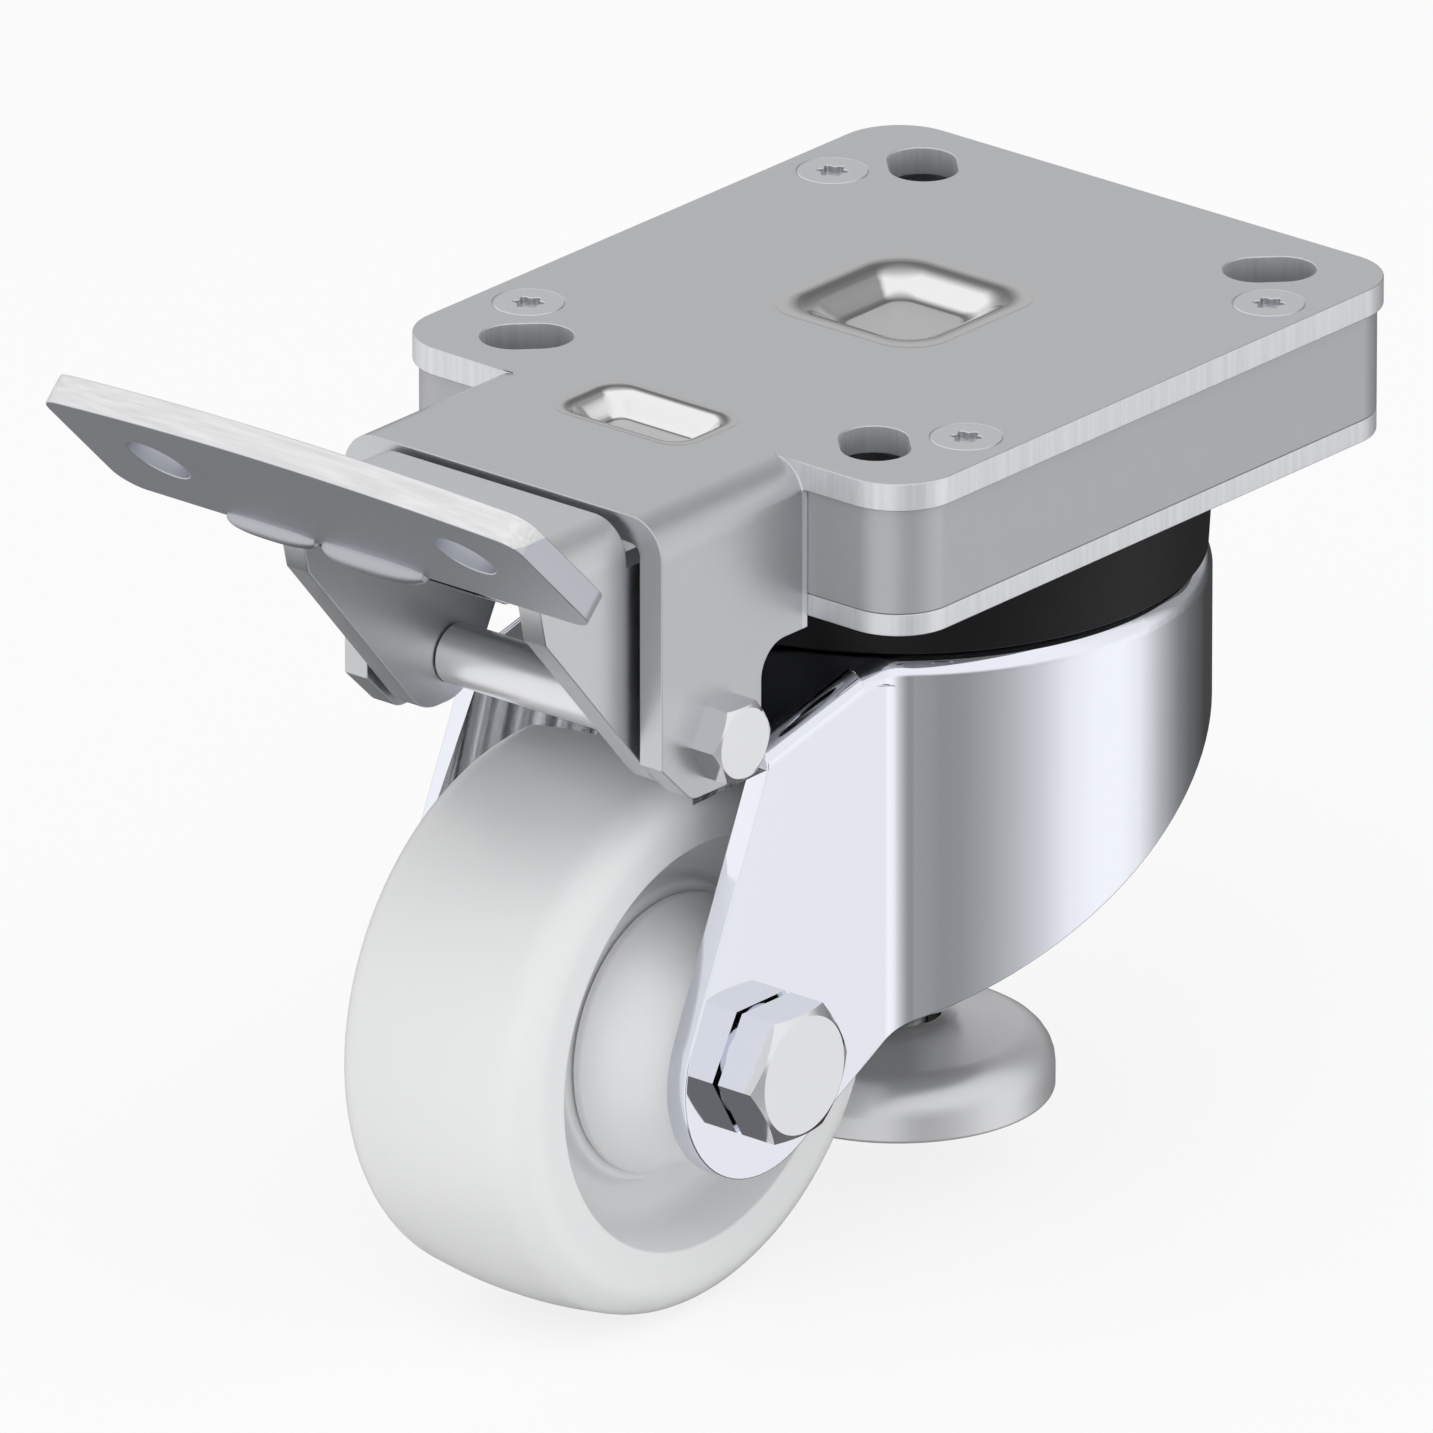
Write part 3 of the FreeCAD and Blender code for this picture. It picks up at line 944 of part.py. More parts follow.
# Foot: plunger in the sleeve, spindle, adjusting nut and the tilting disc.
def make_foot():
    top = "-Sizes.plunger_top"
    nut_top = "(-Sizes.nut_bottom + Sizes.nut_height)"
    tube_low = "(%s + Sizes.gap)" % nut_top
    bore = "Sizes.spindle_radius + Sizes.running"
    collar_top = "-Sizes.collar_depth"
    collar_low = "-Sizes.collar_depth - Sizes.collar_height"
    tube = turned("plunger_turned", [
        (bore, tube_low), ("Sizes.plunger_radius", tube_low), ("Sizes.plunger_radius", collar_low),
        ("Sizes.collar_radius", collar_low), ("Sizes.collar_radius", collar_top),
        ("Sizes.plunger_radius", collar_top), ("Sizes.plunger_radius", top), ("0", top),
        ("0", "-Sizes.plunger_bore_top"), (bore, "-Sizes.plunger_bore_top")])
    pin_half = "(Sizes.pull_inner + Sizes.pull_sheet + Sizes.gap)"
    pin_hole = rod("cross_pin_hole", "Sizes.cross_pin_radius", "2 * %s + 2" % pin_half, "0",
                   "-%s - 1" % pin_half, "-Sizes.cross_pin_depth", "Y")
    keep(cut("plunger_solid", tube, pin_hole), "plunger")
    keep(rod("cross_pin_rod", "Sizes.cross_pin_radius", "2 * " + pin_half, "0", "-" + pin_half,
             "-Sizes.cross_pin_depth", "Y"), "cross_pin")
    ball = doc.addObject("Part::Sphere", "spindle_ball")
    bind(ball, Radius="Sizes.foot_ball")
    put(ball, z="-Sizes.foot_ball_depth")
    neck = rod("spindle_neck_rod", "Sizes.spindle_neck", "Sizes.foot_ball_depth - Sizes.spindle_end + 1",
               z="-Sizes.foot_ball_depth")
    thread = rod("spindle_thread", "Sizes.spindle_radius", "Sizes.spindle_end - Sizes.spindle_top",
                 z="-Sizes.spindle_end")
    keep(fuse("spindle_solid", ball, neck, thread), "spindle")
    nut = bolt_head("adjusting_nut_form", "Sizes.nut_flats", "Sizes.nut_height", "0", "0",
                    "-Sizes.nut_bottom", "Z", "low")
    nut_bore = rod("adjusting_nut_bore", bore, "Sizes.nut_height + 2", z="-Sizes.nut_bottom - 1")
    keep(cut("adjusting_nut_solid", nut, nut_bore), "adjusting_nut")
    liner_in = "(Sizes.foot_ball + Sizes.gap)"
    liner_out = "(Sizes.foot_ball + Sizes.gap + Sizes.liner_wall)"
    socket = "(%s + Sizes.gap)" % liner_out
    shells = []
    for name, radius in (("liner_inside", liner_in), ("liner_outside", liner_out), ("foot_socket", socket)):
        shell = doc.addObject("Part::Sphere", name)
        bind(shell, Radius=radius)
        shells.append(put(shell, z="-Sizes.foot_ball_depth"))
    mouth = "-Sizes.foot_ball_depth + Sizes.joint_mouth"
    lid = rod("liner_lid", socket + " + 1", "Sizes.foot_ball + Sizes.liner_wall + 2", z=mouth)
    keep(cut("liner_solid", shells[1], shells[0], lid), "joint_liner")
    low = "-Sizes.foot_bottom"
    cone_low = "-Sizes.foot_top - Sizes.foot_drop"
    disc = turned("foot_turned", [
        ("0", low), ("Sizes.foot_radius", low), ("Sizes.foot_radius", cone_low),
        ("Sizes.foot_neck", "-Sizes.foot_top"), ("0", "-Sizes.foot_top")],
        rounds={1: "Sizes.foot_edge", 2: "Sizes.foot_round"})
    way_in = rod("foot_mouth", "sqrt(%s^2 - Sizes.joint_mouth^2)" % socket, "Sizes.foot_ball + 6", z=mouth)
    keep(cut("foot_solid", disc, shells[2], way_in), "foot_disc")
    spring = doc.addObject("Part::Helix", "spring_line")
    height = "(Sizes.cup_floor + %s - 2 * Sizes.spring_wire)" % collar_low
    bind(spring, Radius="Sizes.spring_radius", Height=height, Pitch="%s / Sizes.spring_turns" % height)
    put(spring, z="-Sizes.cup_floor + Sizes.spring_wire")
    doc.recompute()
    wire = doc.addObject("Part::Feature", "spring_coil")
    start = FreeCAD.Vector(size("Sizes.spring_radius"), 0, size("-Sizes.cup_floor + Sizes.spring_wire"))
    circle = Part.Circle(start, FreeCAD.Vector(0, 1, 0), size("Sizes.spring_wire"))
    section = Part.Wire([circle.toShape()])
    wire.Shape = Part.Wire(spring.Shape.Edges).makePipeShell([section], True, True)
    keep(wire, "return_spring")


# Slide: two ramp plates and their tie, drawn forward by the pedal.
def make_slide():
    high = "(-Sizes.plate_sheet - Sizes.gap)"
    low = "(-%s + Sizes.gap)" % BASE_TOP
    strip = "(%s - Sizes.pull_strip)" % high
    slope = "(Sizes.stroke / Sizes.pull)"
    start = "(-Sizes.cross_pin_depth + Sizes.cross_pin_radius * sqrt(1 + %s^2) + 0.1)" % slope
    front = "-Sizes.pull_front"
    pin_x = "(-Sizes.pivot_x + Sizes.crank_radius * sin(Sizes.crank_lean))"
    pin_low = "(-Sizes.pivot_z + Sizes.crank_radius * cos(Sizes.crank_lean))"
    pin_high = "(-Sizes.pivot_z + Sizes.crank_radius)"
    points = [
        (front, high), (front, low), (pin_x + " + Sizes.pull_ramp_start", low),
        (pin_x + " + Sizes.pull_ramp_end", strip),
        ("(%s - %s) / %s" % (start, strip, slope), strip),
        ("(%s - %s) / %s" % (start, low, slope), low), ("Sizes.pull_back", low), ("Sizes.pull_back", high)]
    play = "Sizes.drive_pin_radius + Sizes.gap"
    plates = []
    for side, near in (("left", "-Sizes.pull_inner - Sizes.pull_sheet"), ("right", "Sizes.pull_inner")):
        start_at = "Sizes.pull_inner" if side == "left" else "-Sizes.pull_inner - Sizes.pull_sheet"
        blank = padded("pull_blank_" + side, "XZ_Plane", points, "Sizes.pull_sheet", start_at,
                       {1: "Sizes.pull_round", 2: "Sizes.pull_ramp_round", 3: "Sizes.pull_ramp_round"})
        slot = [rod("pull_slot_low_" + side, play, "Sizes.pull_sheet + 2", pin_x, near + " - 1",
                    pin_low, "Y"),
                rod("pull_slot_high_" + side, play, "Sizes.pull_sheet + 2", pin_x, near + " - 1",
                    pin_high, "Y"),
                box("pull_slot_middle_" + side, "2 * (%s)" % play, "Sizes.pull_sheet + 2",
                    "%s - %s" % (pin_high, pin_low), "%s - (%s)" % (pin_x, play), near + " - 1", pin_low)]
        plates.append(cut("pull_plate_form_" + side, blank, *slot))
    keep(plates[0], "ramp_plate_left")
    keep(plates[1], "ramp_plate_right")
    keep(box("tie_block", "Sizes.tie_length", "2 * Sizes.pull_inner", "Sizes.tie_height",
             "-Sizes.tie_front", "-Sizes.pull_inner", strip + " - Sizes.tie_height"), "ramp_tie")
    keep(rod("drive_pin_rod", "Sizes.drive_pin_radius", "2 * Sizes.lever_half", pin_x, "-Sizes.lever_half",
             pin_low, "Y"), "drive_pin")
    return pin_x, pin_low


# Pedal: bent lever, inclined tread plate, and the pivot with its tube.
def make_pedal(pin_x, pin_z):
    lean = "Sizes.pedal_lean"
    turn = dict(axis=(0, 1, 0), turn="Sizes.pedal_lean - 180")
    bow = "((Sizes.pedal_half^2 + Sizes.pedal_bow^2) / (2 * Sizes.pedal_bow))"

    def along_plate(up):
        return ("-Sizes.pedal_low_x - (%s) * cos(%s)" % (up, lean),
                "-Sizes.pedal_low_z + (%s) * sin(%s)" % (up, lean))

    blank = new_body("pedal_blank")
    shape = outline(blank, "pedal_outline", "XY_Plane", [
        ("0", "-Sizes.pedal_half"), ("Sizes.pedal_depth + Sizes.pedal_bow + 2", "-Sizes.pedal_half"),
        ("Sizes.pedal_depth + Sizes.pedal_bow + 2", "Sizes.pedal_half"), ("0", "Sizes.pedal_half")],
        {0: "Sizes.pedal_corner", 3: "Sizes.pedal_corner"})
    pad = blank.newObject("PartDesign::Pad", "pedal_pad")
    pad.Profile = shape
    pad.Reversed = True
    bind(pad, Length="Sizes.pedal_sheet")
    put(blank, "-Sizes.pedal_low_x", "0", "-Sizes.pedal_low_z", **turn)
    disc = doc.addObject("Part::Cylinder", "pedal_bow_disc")
    bind(disc, Radius=bow, Height="2 * Sizes.pedal_sheet + 2")
    middle = "(Sizes.pedal_depth + Sizes.pedal_bow - %s)" % bow
    x, z = along_plate(middle)
    back = "(Sizes.pedal_sheet + 1)"
    put(disc, "%s + %s * sin(%s)" % (x, back, lean), "0", "%s + %s * cos(%s)" % (z, back, lean), **turn)
    holes = []
    for side, y in (("left", "-Sizes.pedal_hole_y"), ("right", "Sizes.pedal_hole_y")):
        hole = doc.addObject("Part::Cylinder", "pedal_hole_" + side)
        bind(hole, Radius="Sizes.pedal_hole_radius", Height="2 * Sizes.pedal_sheet + 2")
        x, z = along_plate("Sizes.pedal_hole_up")
        put(hole, "%s + %s * sin(%s)" % (x, back, lean), y, "%s + %s * cos(%s)" % (z, back, lean), **turn)
        holes.append(hole)
    pedal = keep(cut("pedal_solid", common("pedal_bowed", blank, disc), *holes), "pedal_plate")

    web = "-Sizes.lever_top"
    under = "(-Sizes.lever_top - Sizes.lever_sheet)"
    lobe_top = "%s + Sizes.crank_lobe" % pin_z
    lobe_back = "%s + Sizes.crank_lobe" % pin_x
    low = "-Sizes.pivot_z - Sizes.lever_round"
    tip = "-Sizes.pedal_low_x + Sizes.lever_tip_gap"
    side = padded("lever_side", "XZ_Plane", [
        ("-Sizes.lever_back", web + " + 1"), (tip, web + " + 1"), (tip, under),
        ("-Sizes.lever_nose", under + " - Sizes.nose_top"),
        ("-Sizes.lever_nose + Sizes.nose_slant", under + " - Sizes.nose_height"),
        ("-Sizes.pivot_x - Sizes.lever_toe", low), ("-Sizes.pivot_x + Sizes.lever_heel", low),
        (lobe_back, "%s - Sizes.heel_drop" % pin_z), (lobe_back, lobe_top),
        ("-Sizes.lever_back", lobe_top)],
        "2 * Sizes.lever_half + 2", None,
        {5: "Sizes.lever_round", 6: "Sizes.lever_round", 7: "Sizes.heel_round", 8: "Sizes.crank_lobe"})
    half = "Sizes.lever_half"
    inside = "(Sizes.lever_half - Sizes.lever_sheet)"
    deep = "(-Sizes.pivot_z - Sizes.lever_round - 3)"
    channel = padded("lever_channel_form", "YZ_Plane", [
        ("-" + half, deep), ("-" + half, web), (half, web), (half, deep), (inside, deep), (inside, under),
        ("-" + inside, under), ("-" + inside, deep)],
        "Sizes.pedal_low_x + %s" % lobe_back, "-Sizes.pedal_low_x",
        {1: "Sizes.tongue_bend", 2: "Sizes.tongue_bend",
         5: "Sizes.tongue_bend - Sizes.lever_sheet", 6: "Sizes.tongue_bend - Sizes.lever_sheet"})
    pivot = rod("lever_pivot_hole", "Sizes.pivot_radius + Sizes.running", "2 * Sizes.lever_half + 2",
                "-Sizes.pivot_x", "-Sizes.lever_half - 1", "-Sizes.pivot_z", "Y")
    pin = rod("lever_pin_hole", "Sizes.drive_pin_radius", "2 * Sizes.lever_half + 2", pin_x,
              "-Sizes.lever_half - 1", pin_z, "Y")
    beads = weld_beads(web)
    keep(cut("lever_solid", fuse("lever_welded", common("lever_form", channel, side), *beads),
             pivot, pin, pedal), "lever_channel")


def weld_beads(web):
    """Weld between the lever's web and the pedal plate: one run behind, two short beads in front."""
    edge_x = "-Sizes.pedal_low_x"
    thick = "(Sizes.pedal_sheet * sin(Sizes.pedal_lean))"
    sunk = web + " - Sizes.weld_sink"
    run = padded("weld_run", "XZ_Plane", [
        (edge_x, sunk), ("%s + %s + Sizes.weld_foot" % (edge_x, thick), sunk),
        ("%s + %s" % (edge_x, thick), "-Sizes.pedal_low_z + %s" % thick)],
        "2 * Sizes.weld_reach")
    beads = [run]
    for side, middle in (("left", "-Sizes.weld_middle"), ("right", "Sizes.weld_middle")):
        beads.append(rod("weld_bead_" + side, "Sizes.weld_radius", "Sizes.weld_length",
                         edge_x + " + Sizes.weld_radius / 2", "%s - Sizes.weld_length / 2" % middle,
                         sunk, "Y"))
    return beads


def make_pivot():
    where = ("-Sizes.pivot_x", "-Sizes.pivot_z")
    cheek = "Sizes.tongue_half"
    head = bolt_head("pivot_head_form", "Sizes.pivot_flats", "Sizes.pivot_head", where[0],
                     "-%s - Sizes.pivot_head" % cheek, where[1], "Y", "low")
    shank = rod("pivot_shank", "Sizes.pivot_radius",
                "2 * %s + Sizes.pivot_nut_height + Sizes.bolt_end + 1" % cheek, where[0],
                "-%s - 1" % cheek, where[1], "Y")
    keep(fuse("pivot_bolt_solid", head, shank), "pivot_bolt")
    nut = bolt_head("pivot_nut_form", "Sizes.pivot_flats", "Sizes.pivot_nut_height", where[0], cheek,
                    where[1], "Y", "high")
    bore = rod("pivot_nut_bore", "Sizes.pivot_radius", "Sizes.pivot_nut_height + 2", where[0],
               cheek + " - 1", where[1], "Y")
    keep(cut("pivot_nut_solid", nut, bore), "pivot_nut")
    inside = "(Sizes.lever_half - Sizes.lever_sheet - Sizes.gap)"
    loose = "Sizes.pivot_radius + Sizes.running"
    keep(ring("pivot_tube_ring", "Sizes.pivot_tube_radius", loose, "2 * " + inside, where[0],
              "-" + inside, where[1], "Y"), "pivot_tube")
    inner_face = "(Sizes.tongue_half - Sizes.plate_sheet)"
    thick = "(%s - Sizes.lever_half - Sizes.running)" % inner_face
    keep(group("washer_pair",
               ring("pivot_washer_left", "Sizes.washer_radius", loose, thick, where[0],
                    "-" + inner_face, where[1], "Y"),
               ring("pivot_washer_right", "Sizes.washer_radius", loose, thick, where[0],
                    "Sizes.lever_half + Sizes.running", where[1], "Y")), "pivot_washers")


SETTLE_TRIES = 4


def settle():
    """Recompute the document, again where a sketch was not solved, and stop if any object failed."""
    failed = []
    for _ in range(SETTLE_TRIES):
        for obj in failed:
            obj.touch()
        doc.recompute()
        failed = [obj for obj in doc.Objects if "Invalid" in obj.State or "Error" in obj.State]
        if not failed:
            break
    if failed:
        raise RuntimeError("failed objects: " + ", ".join(obj.Name for obj in failed))
    for piece in pieces:
        if piece.Shape.isNull() or not piece.Shape.isValid():
            raise RuntimeError("bad shape: " + piece.Label)


make_top_plate()
make_housing()
make_swivel()
make_fork()
make_wheel()
make_axle()
make_foot()
make_pedal(*make_slide())
make_pivot()
settle()

os.makedirs("parts", exist_ok=True)
for piece in pieces:
    piece.Shape.exportStep("parts/%s.step" % piece.Label)
    print("%-22s solids %2d  volume %9.1f mm3" % (piece.Label, len(piece.Shape.Solids), piece.Shape.Volume))
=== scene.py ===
# %% [markdown]
# A levelling castor carries a machine on a wheel, and stands it on a foot while the machine works. This
# lesson dresses the plain solids of the part for a picture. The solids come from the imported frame: each
# moving group is a body, each separate piece is a node, and nothing here moves them. Every length below
# is in millimetres, as on a drawing, and is turned into metres when a mesh is made.

import json
import math

import bmesh
import bpy
import numpy as np
from mathutils import Matrix, Vector


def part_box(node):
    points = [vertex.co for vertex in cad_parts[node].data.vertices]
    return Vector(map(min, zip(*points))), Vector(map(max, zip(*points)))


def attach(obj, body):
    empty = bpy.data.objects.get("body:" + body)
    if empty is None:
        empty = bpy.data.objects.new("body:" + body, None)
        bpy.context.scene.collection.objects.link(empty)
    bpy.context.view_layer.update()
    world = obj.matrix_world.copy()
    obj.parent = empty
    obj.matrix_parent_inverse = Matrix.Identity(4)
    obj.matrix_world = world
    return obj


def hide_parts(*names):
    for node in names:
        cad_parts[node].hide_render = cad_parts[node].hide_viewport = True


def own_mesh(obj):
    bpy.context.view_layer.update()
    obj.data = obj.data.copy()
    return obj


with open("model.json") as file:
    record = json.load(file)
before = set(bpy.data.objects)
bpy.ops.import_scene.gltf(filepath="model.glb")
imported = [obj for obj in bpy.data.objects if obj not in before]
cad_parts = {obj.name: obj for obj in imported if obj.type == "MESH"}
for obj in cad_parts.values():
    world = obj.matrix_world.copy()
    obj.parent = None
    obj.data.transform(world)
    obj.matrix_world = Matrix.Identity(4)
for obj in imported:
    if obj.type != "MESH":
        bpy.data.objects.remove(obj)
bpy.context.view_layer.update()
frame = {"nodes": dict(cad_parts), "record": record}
nodes = frame["nodes"]
MM = 0.001

# %% [markdown]
# Most sizes are read back from the solids, so that the dressed pieces can't drift from them. A node's box
# gives its corners, and that is enough for anything round or flat.


# %% Read sizes from the solids
def box_corners(node):
    """Lowest and highest corner of a node, in millimetres."""
    low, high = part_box(node)
    return np.array(low) / MM, np.array(high) / MM


wheel_low, wheel_high = box_corners("wheel")
foot_low, foot_high = box_corners("foot_disc")
wheel_centre = (wheel_low + wheel_high) / 2
floor_level = wheel_low[2]
print("wheel centre", wheel_centre.round(2), "floor", floor_level.round(2))

# %% [markdown]
# The picture is a parallel view: a lens of one metre from nearly seven metres away draws parallel
# edges as parallel. The camera stands 50 degrees round from the pedal and looks down 22 degrees. It aims
# at the middle of the picture, which lies to the left of the top plate's centre and below it.

# %% Camera
PICTURE_WIDTH = 242.9
SENSOR = 36.0
LENS = 1000.0
SEES_METRES = 50
CAMERA_TURN = math.radians(50)
CAMERA_DOWN = math.radians(22)
AIM_LEFT = 30.93
AIM_BELOW = 70.21

right = np.array([math.cos(CAMERA_TURN), -math.sin(CAMERA_TURN), 0.0])
back = np.array([
    -math.sin(CAMERA_TURN) * math.cos(CAMERA_DOWN),
    -math.cos(CAMERA_TURN) * math.cos(CAMERA_DOWN),
    math.sin(CAMERA_DOWN),
])
up = np.cross(back, right)
aim = -AIM_LEFT * right - AIM_BELOW * up
distance = PICTURE_WIDTH * LENS / SENSOR

camera_data = bpy.data.cameras.new("camera")
camera_data.lens = LENS
camera_data.sensor_width = SENSOR
camera_data.clip_end = SEES_METRES
camera = bpy.data.objects.new("camera", camera_data)
bpy.context.scene.collection.objects.link(camera)
turn = Matrix((right, up, back)).transposed().to_4x4()
camera.matrix_world = Matrix.Translation(Vector(aim + distance * back) * MM) @ turn
bpy.context.scene.camera = camera
bpy.context.scene.view_settings.view_transform = "Standard"
print("camera", round(distance * MM, 2), "m away")

# %% [markdown]
# A shader is a net of small nodes, each with one task. These helpers add a node, join two sockets, look a
# value up in a ramp, do one step of arithmetic and mix two colours or two shaders. With them a material
# reads as a few lines from its source to its output.


# %% Node helpers
def new_node(tree, kind, **settings):
    """Adds a shader node and sets its properties."""
    node = tree.nodes.new(kind)
    for name, value in settings.items():
        setattr(node, name, value)
    return node


def link(tree, source, target):
    """Joins an output socket to an input socket."""
    tree.links.new(source, target)


def ramp(tree, factor, stops):
    """A ramp of greys: stops is a list of place and grey, in rising order."""
    node = new_node(tree, "ShaderNodeValToRGB")
    band = node.color_ramp
    while len(band.elements) < len(stops):
        band.elements.new(0.5)
    for element, (place, grey) in zip(band.elements, stops):
        element.position = place
        element.color = (grey, grey, grey, 1)
    link(tree, factor, node.inputs["Fac"])
    return node.outputs["Color"]


def maths(tree, operation, *values):
    """One step of arithmetic on sockets or numbers."""
    node = new_node(tree, "ShaderNodeMath", operation=operation)
    for socket, value in zip(node.inputs, values):
        if isinstance(value, (int, float)):
            socket.default_value = value
        else:
            link(tree, value, socket)
    return node.outputs[0]


def blend(tree, share, first, second):
    """Mixes two colours, each a socket, a colour or a plain grey, by a share that is a socket."""
    node = new_node(tree, "ShaderNodeMix", data_type="RGBA")
    for name, value in (("Factor", share), ("A", first), ("B", second)):
        socket = [s for s in node.inputs if s.name == name and s.enabled][0]
        if isinstance(value, bpy.types.NodeSocket):
            link(tree, value, socket)
        else:
            socket.default_value = (value, value, value, 1) if isinstance(value, float) else (*value, 1)
    return [s for s in node.outputs if s.enabled][0]


def either(tree, share, first, second):
    """Mixes two shaders by a share that is a socket."""
    node = new_node(tree, "ShaderNodeMixShader")
    for source, target in zip((share, first, second), node.inputs):
        link(tree, source, target)
    return node.outputs[0]


print("helpers for shader nodes ready")

# %% [markdown]
# The studio is a white room, and its world shader sends each kind of ray to a place of its own. The eye
# sees plain white. Chrome needs something to mirror, so the mirror rays see a bright ceiling, a dark
# ground, and walls that change from white to dark grey as they go round. The low walls draw the bands on
# the fork's drum, and the high walls shade the metal that looks up. Every other ray finds the same even
# light all round.

# %% World
ROOM_LIGHT = 0.78
WALLS_LOW = [
    (0.0, 0.95), (0.06, 0.95), (0.111, 0.8), (0.117, 0.66), (0.125, 0.5), (0.133, 0.36), (0.153, 0.29),
    (0.175, 0.305), (0.2, 0.38), (0.227, 0.49), (0.26, 0.66), (0.294, 0.9), (0.33, 1.0), (0.36, 1.0),
    (0.388, 0.9), (0.405, 0.7), (0.422, 0.51), (0.441, 0.35), (0.462, 0.23), (0.486, 0.15), (0.54, 0.06),
    (0.61, 0.06), (0.66, 0.3), (0.74, 0.8), (0.8, 0.95),
]
WALLS_HIGH = [
    (0.0, 0.9), (0.3, 0.95), (0.4, 0.85), (0.44, 0.35), (0.5, 0.3), (0.56, 0.5), (0.6, 0.72), (0.66, 0.62),
    (0.72, 1.0), (0.85, 1.0), (1.0, 0.9),
]
WALLS_MEET = [(0.46, 0.0), (0.56, 1.0)]
CEILING = [(0.87, 0.0), (0.94, 1.0)]
GROUND = [(0.1, 1.0), (0.15, 0.0)]
GROUND_SHADE = 0.16

world = bpy.data.worlds.new("studio")
world.use_nodes = True
bpy.context.scene.world = world
tree = world.node_tree
tree.nodes.clear()
place = new_node(tree, "ShaderNodeTexCoord").outputs["Generated"]
parts = new_node(tree, "ShaderNodeSeparateXYZ")
link(tree, place, parts.inputs[0])
round_room = new_node(tree, "ShaderNodeTexGradient", gradient_type="RADIAL")
link(tree, place, round_room.inputs["Vector"])
low_walls = ramp(tree, round_room.outputs["Fac"], WALLS_LOW)
high_walls = ramp(tree, round_room.outputs["Fac"], WALLS_HIGH)
height = maths(tree, "MULTIPLY_ADD", parts.outputs["Z"], 0.5, 0.5)
walls = blend(tree, ramp(tree, height, WALLS_MEET), low_walls, high_walls)
room = blend(tree, ramp(tree, height, CEILING), walls, 1.0)
room = blend(tree, ramp(tree, height, GROUND), room, GROUND_SHADE)
rays = new_node(tree, "ShaderNodeLightPath").outputs
seen = blend(tree, rays["Is Glossy Ray"], ROOM_LIGHT, room)
seen = blend(tree, rays["Is Camera Ray"], seen, 1.0)
background = new_node(tree, "ShaderNodeBackground")
link(tree, seen, background.inputs["Color"])
link(tree, background.outputs[0], new_node(tree, "ShaderNodeOutputWorld").inputs["Surface"])
print("world nodes", len(tree.nodes))

# %% [markdown]
# The floor is one big square at the bottom of the wheel. To the eye it is mostly plain white, with a
# little of its own matt shade left, so that the shadow stays. Mirror rays pass through it into the room,
# which is what a castor hung in a studio would show.

# %% Floor
FLOOR_HALF = 6.0
FLOOR_SHADE = 0.93
FLOOR_GLOW = 0.8

floor_mesh = bpy.data.meshes.new("floor")
level = floor_level * MM
floor_mesh.from_pydata(
    [(x * FLOOR_HALF, y * FLOOR_HALF, level) for x, y in ((-1, -1), (1, -1), (1, 1), (-1, 1))],
    [], [(0, 1, 2, 3)])
floor = bpy.data.objects.new("floor", floor_mesh)
bpy.context.scene.collection.objects.link(floor)

white_floor = bpy.data.materials.new("white floor")
white_floor.use_nodes = True
tree = white_floor.node_tree
tree.nodes.clear()
matt = new_node(tree, "ShaderNodeBsdfDiffuse")
matt.inputs["Color"].default_value = (FLOOR_SHADE, FLOOR_SHADE, FLOOR_SHADE, 1)
glow = new_node(tree, "ShaderNodeEmission")
rays = new_node(tree, "ShaderNodeLightPath").outputs
to_eye = either(tree, maths(tree, "MULTIPLY", rays["Is Camera Ray"], FLOOR_GLOW),
                matt.outputs[0], glow.outputs[0])
to_all = either(tree, rays["Is Glossy Ray"], to_eye, new_node(tree, "ShaderNodeBsdfTransparent").outputs[0])
link(tree, to_all, new_node(tree, "ShaderNodeOutputMaterial").inputs["Surface"])
floor_mesh.materials.append(white_floor)
print("floor at", round(level, 4), "m")

# %% [markdown]
# Three large lamps add a soft direction to the even light of the room: a main one from the left above, a
# weak one from the right, and a low one in front of the pedal, which lifts the sheet that faces it.
# Mirror rays don't see them, because the room already holds what chrome shows.


# %% Lamps
def lamp(name, place, power, width):
    """A square area lamp that points at the middle of the picture; place and width in metres."""
    data = bpy.data.lights.new(name, "AREA")
    data.energy = power
    data.size = width
    one = bpy.data.objects.new(name, data)
    toward = Vector(aim) * MM - Vector(place)
    one.matrix_world = Matrix.Translation(place) @ toward.to_track_quat("-Z", "Y").to_matrix().to_4x4()
    one.visible_glossy = False
    bpy.context.scene.collection.objects.link(one)


LAMPS = [
    ("main lamp", (-0.9, -0.5, 1.3), 5.0, 1.0),
    ("side lamp", (0.7, -1.2, 0.5), 2.0, 0.8),
    ("front lamp", (-1.4, -0.7, 0.0), 3.5, 1.0),
]
for settings in LAMPS:
    lamp(*settings)
print("lamps", len(LAMPS))

# %% [markdown]
# Each finish is one call that fills a Principled shader and lets its roughness vary a little with noise,
# as real plating does. The zinc plated sheet is a grey metal that blurs what it mirrors, with faint
# rolling lines. The fork is chromed, so it is almost a mirror. The wheel is white nylon, which lets a
# little light in below its surface. A call gives the name, the colour, how metallic and how rough the
# surface is, the spread of its roughness and the number of cells a metre.


# %% Finishes
def finish(name, colour, metallic, roughness, **more):
    """A material with one Principled shader; more names further sockets and their values."""
    material = bpy.data.materials.new(name)
    material.use_nodes = True
    shader = material.node_tree.nodes["Principled BSDF"]
    values = {"Base Color": (*colour, 1), "Metallic": metallic, "Roughness": roughness, **more}
    for socket, value in values.items():
        shader.inputs[socket].default_value = value
    return material


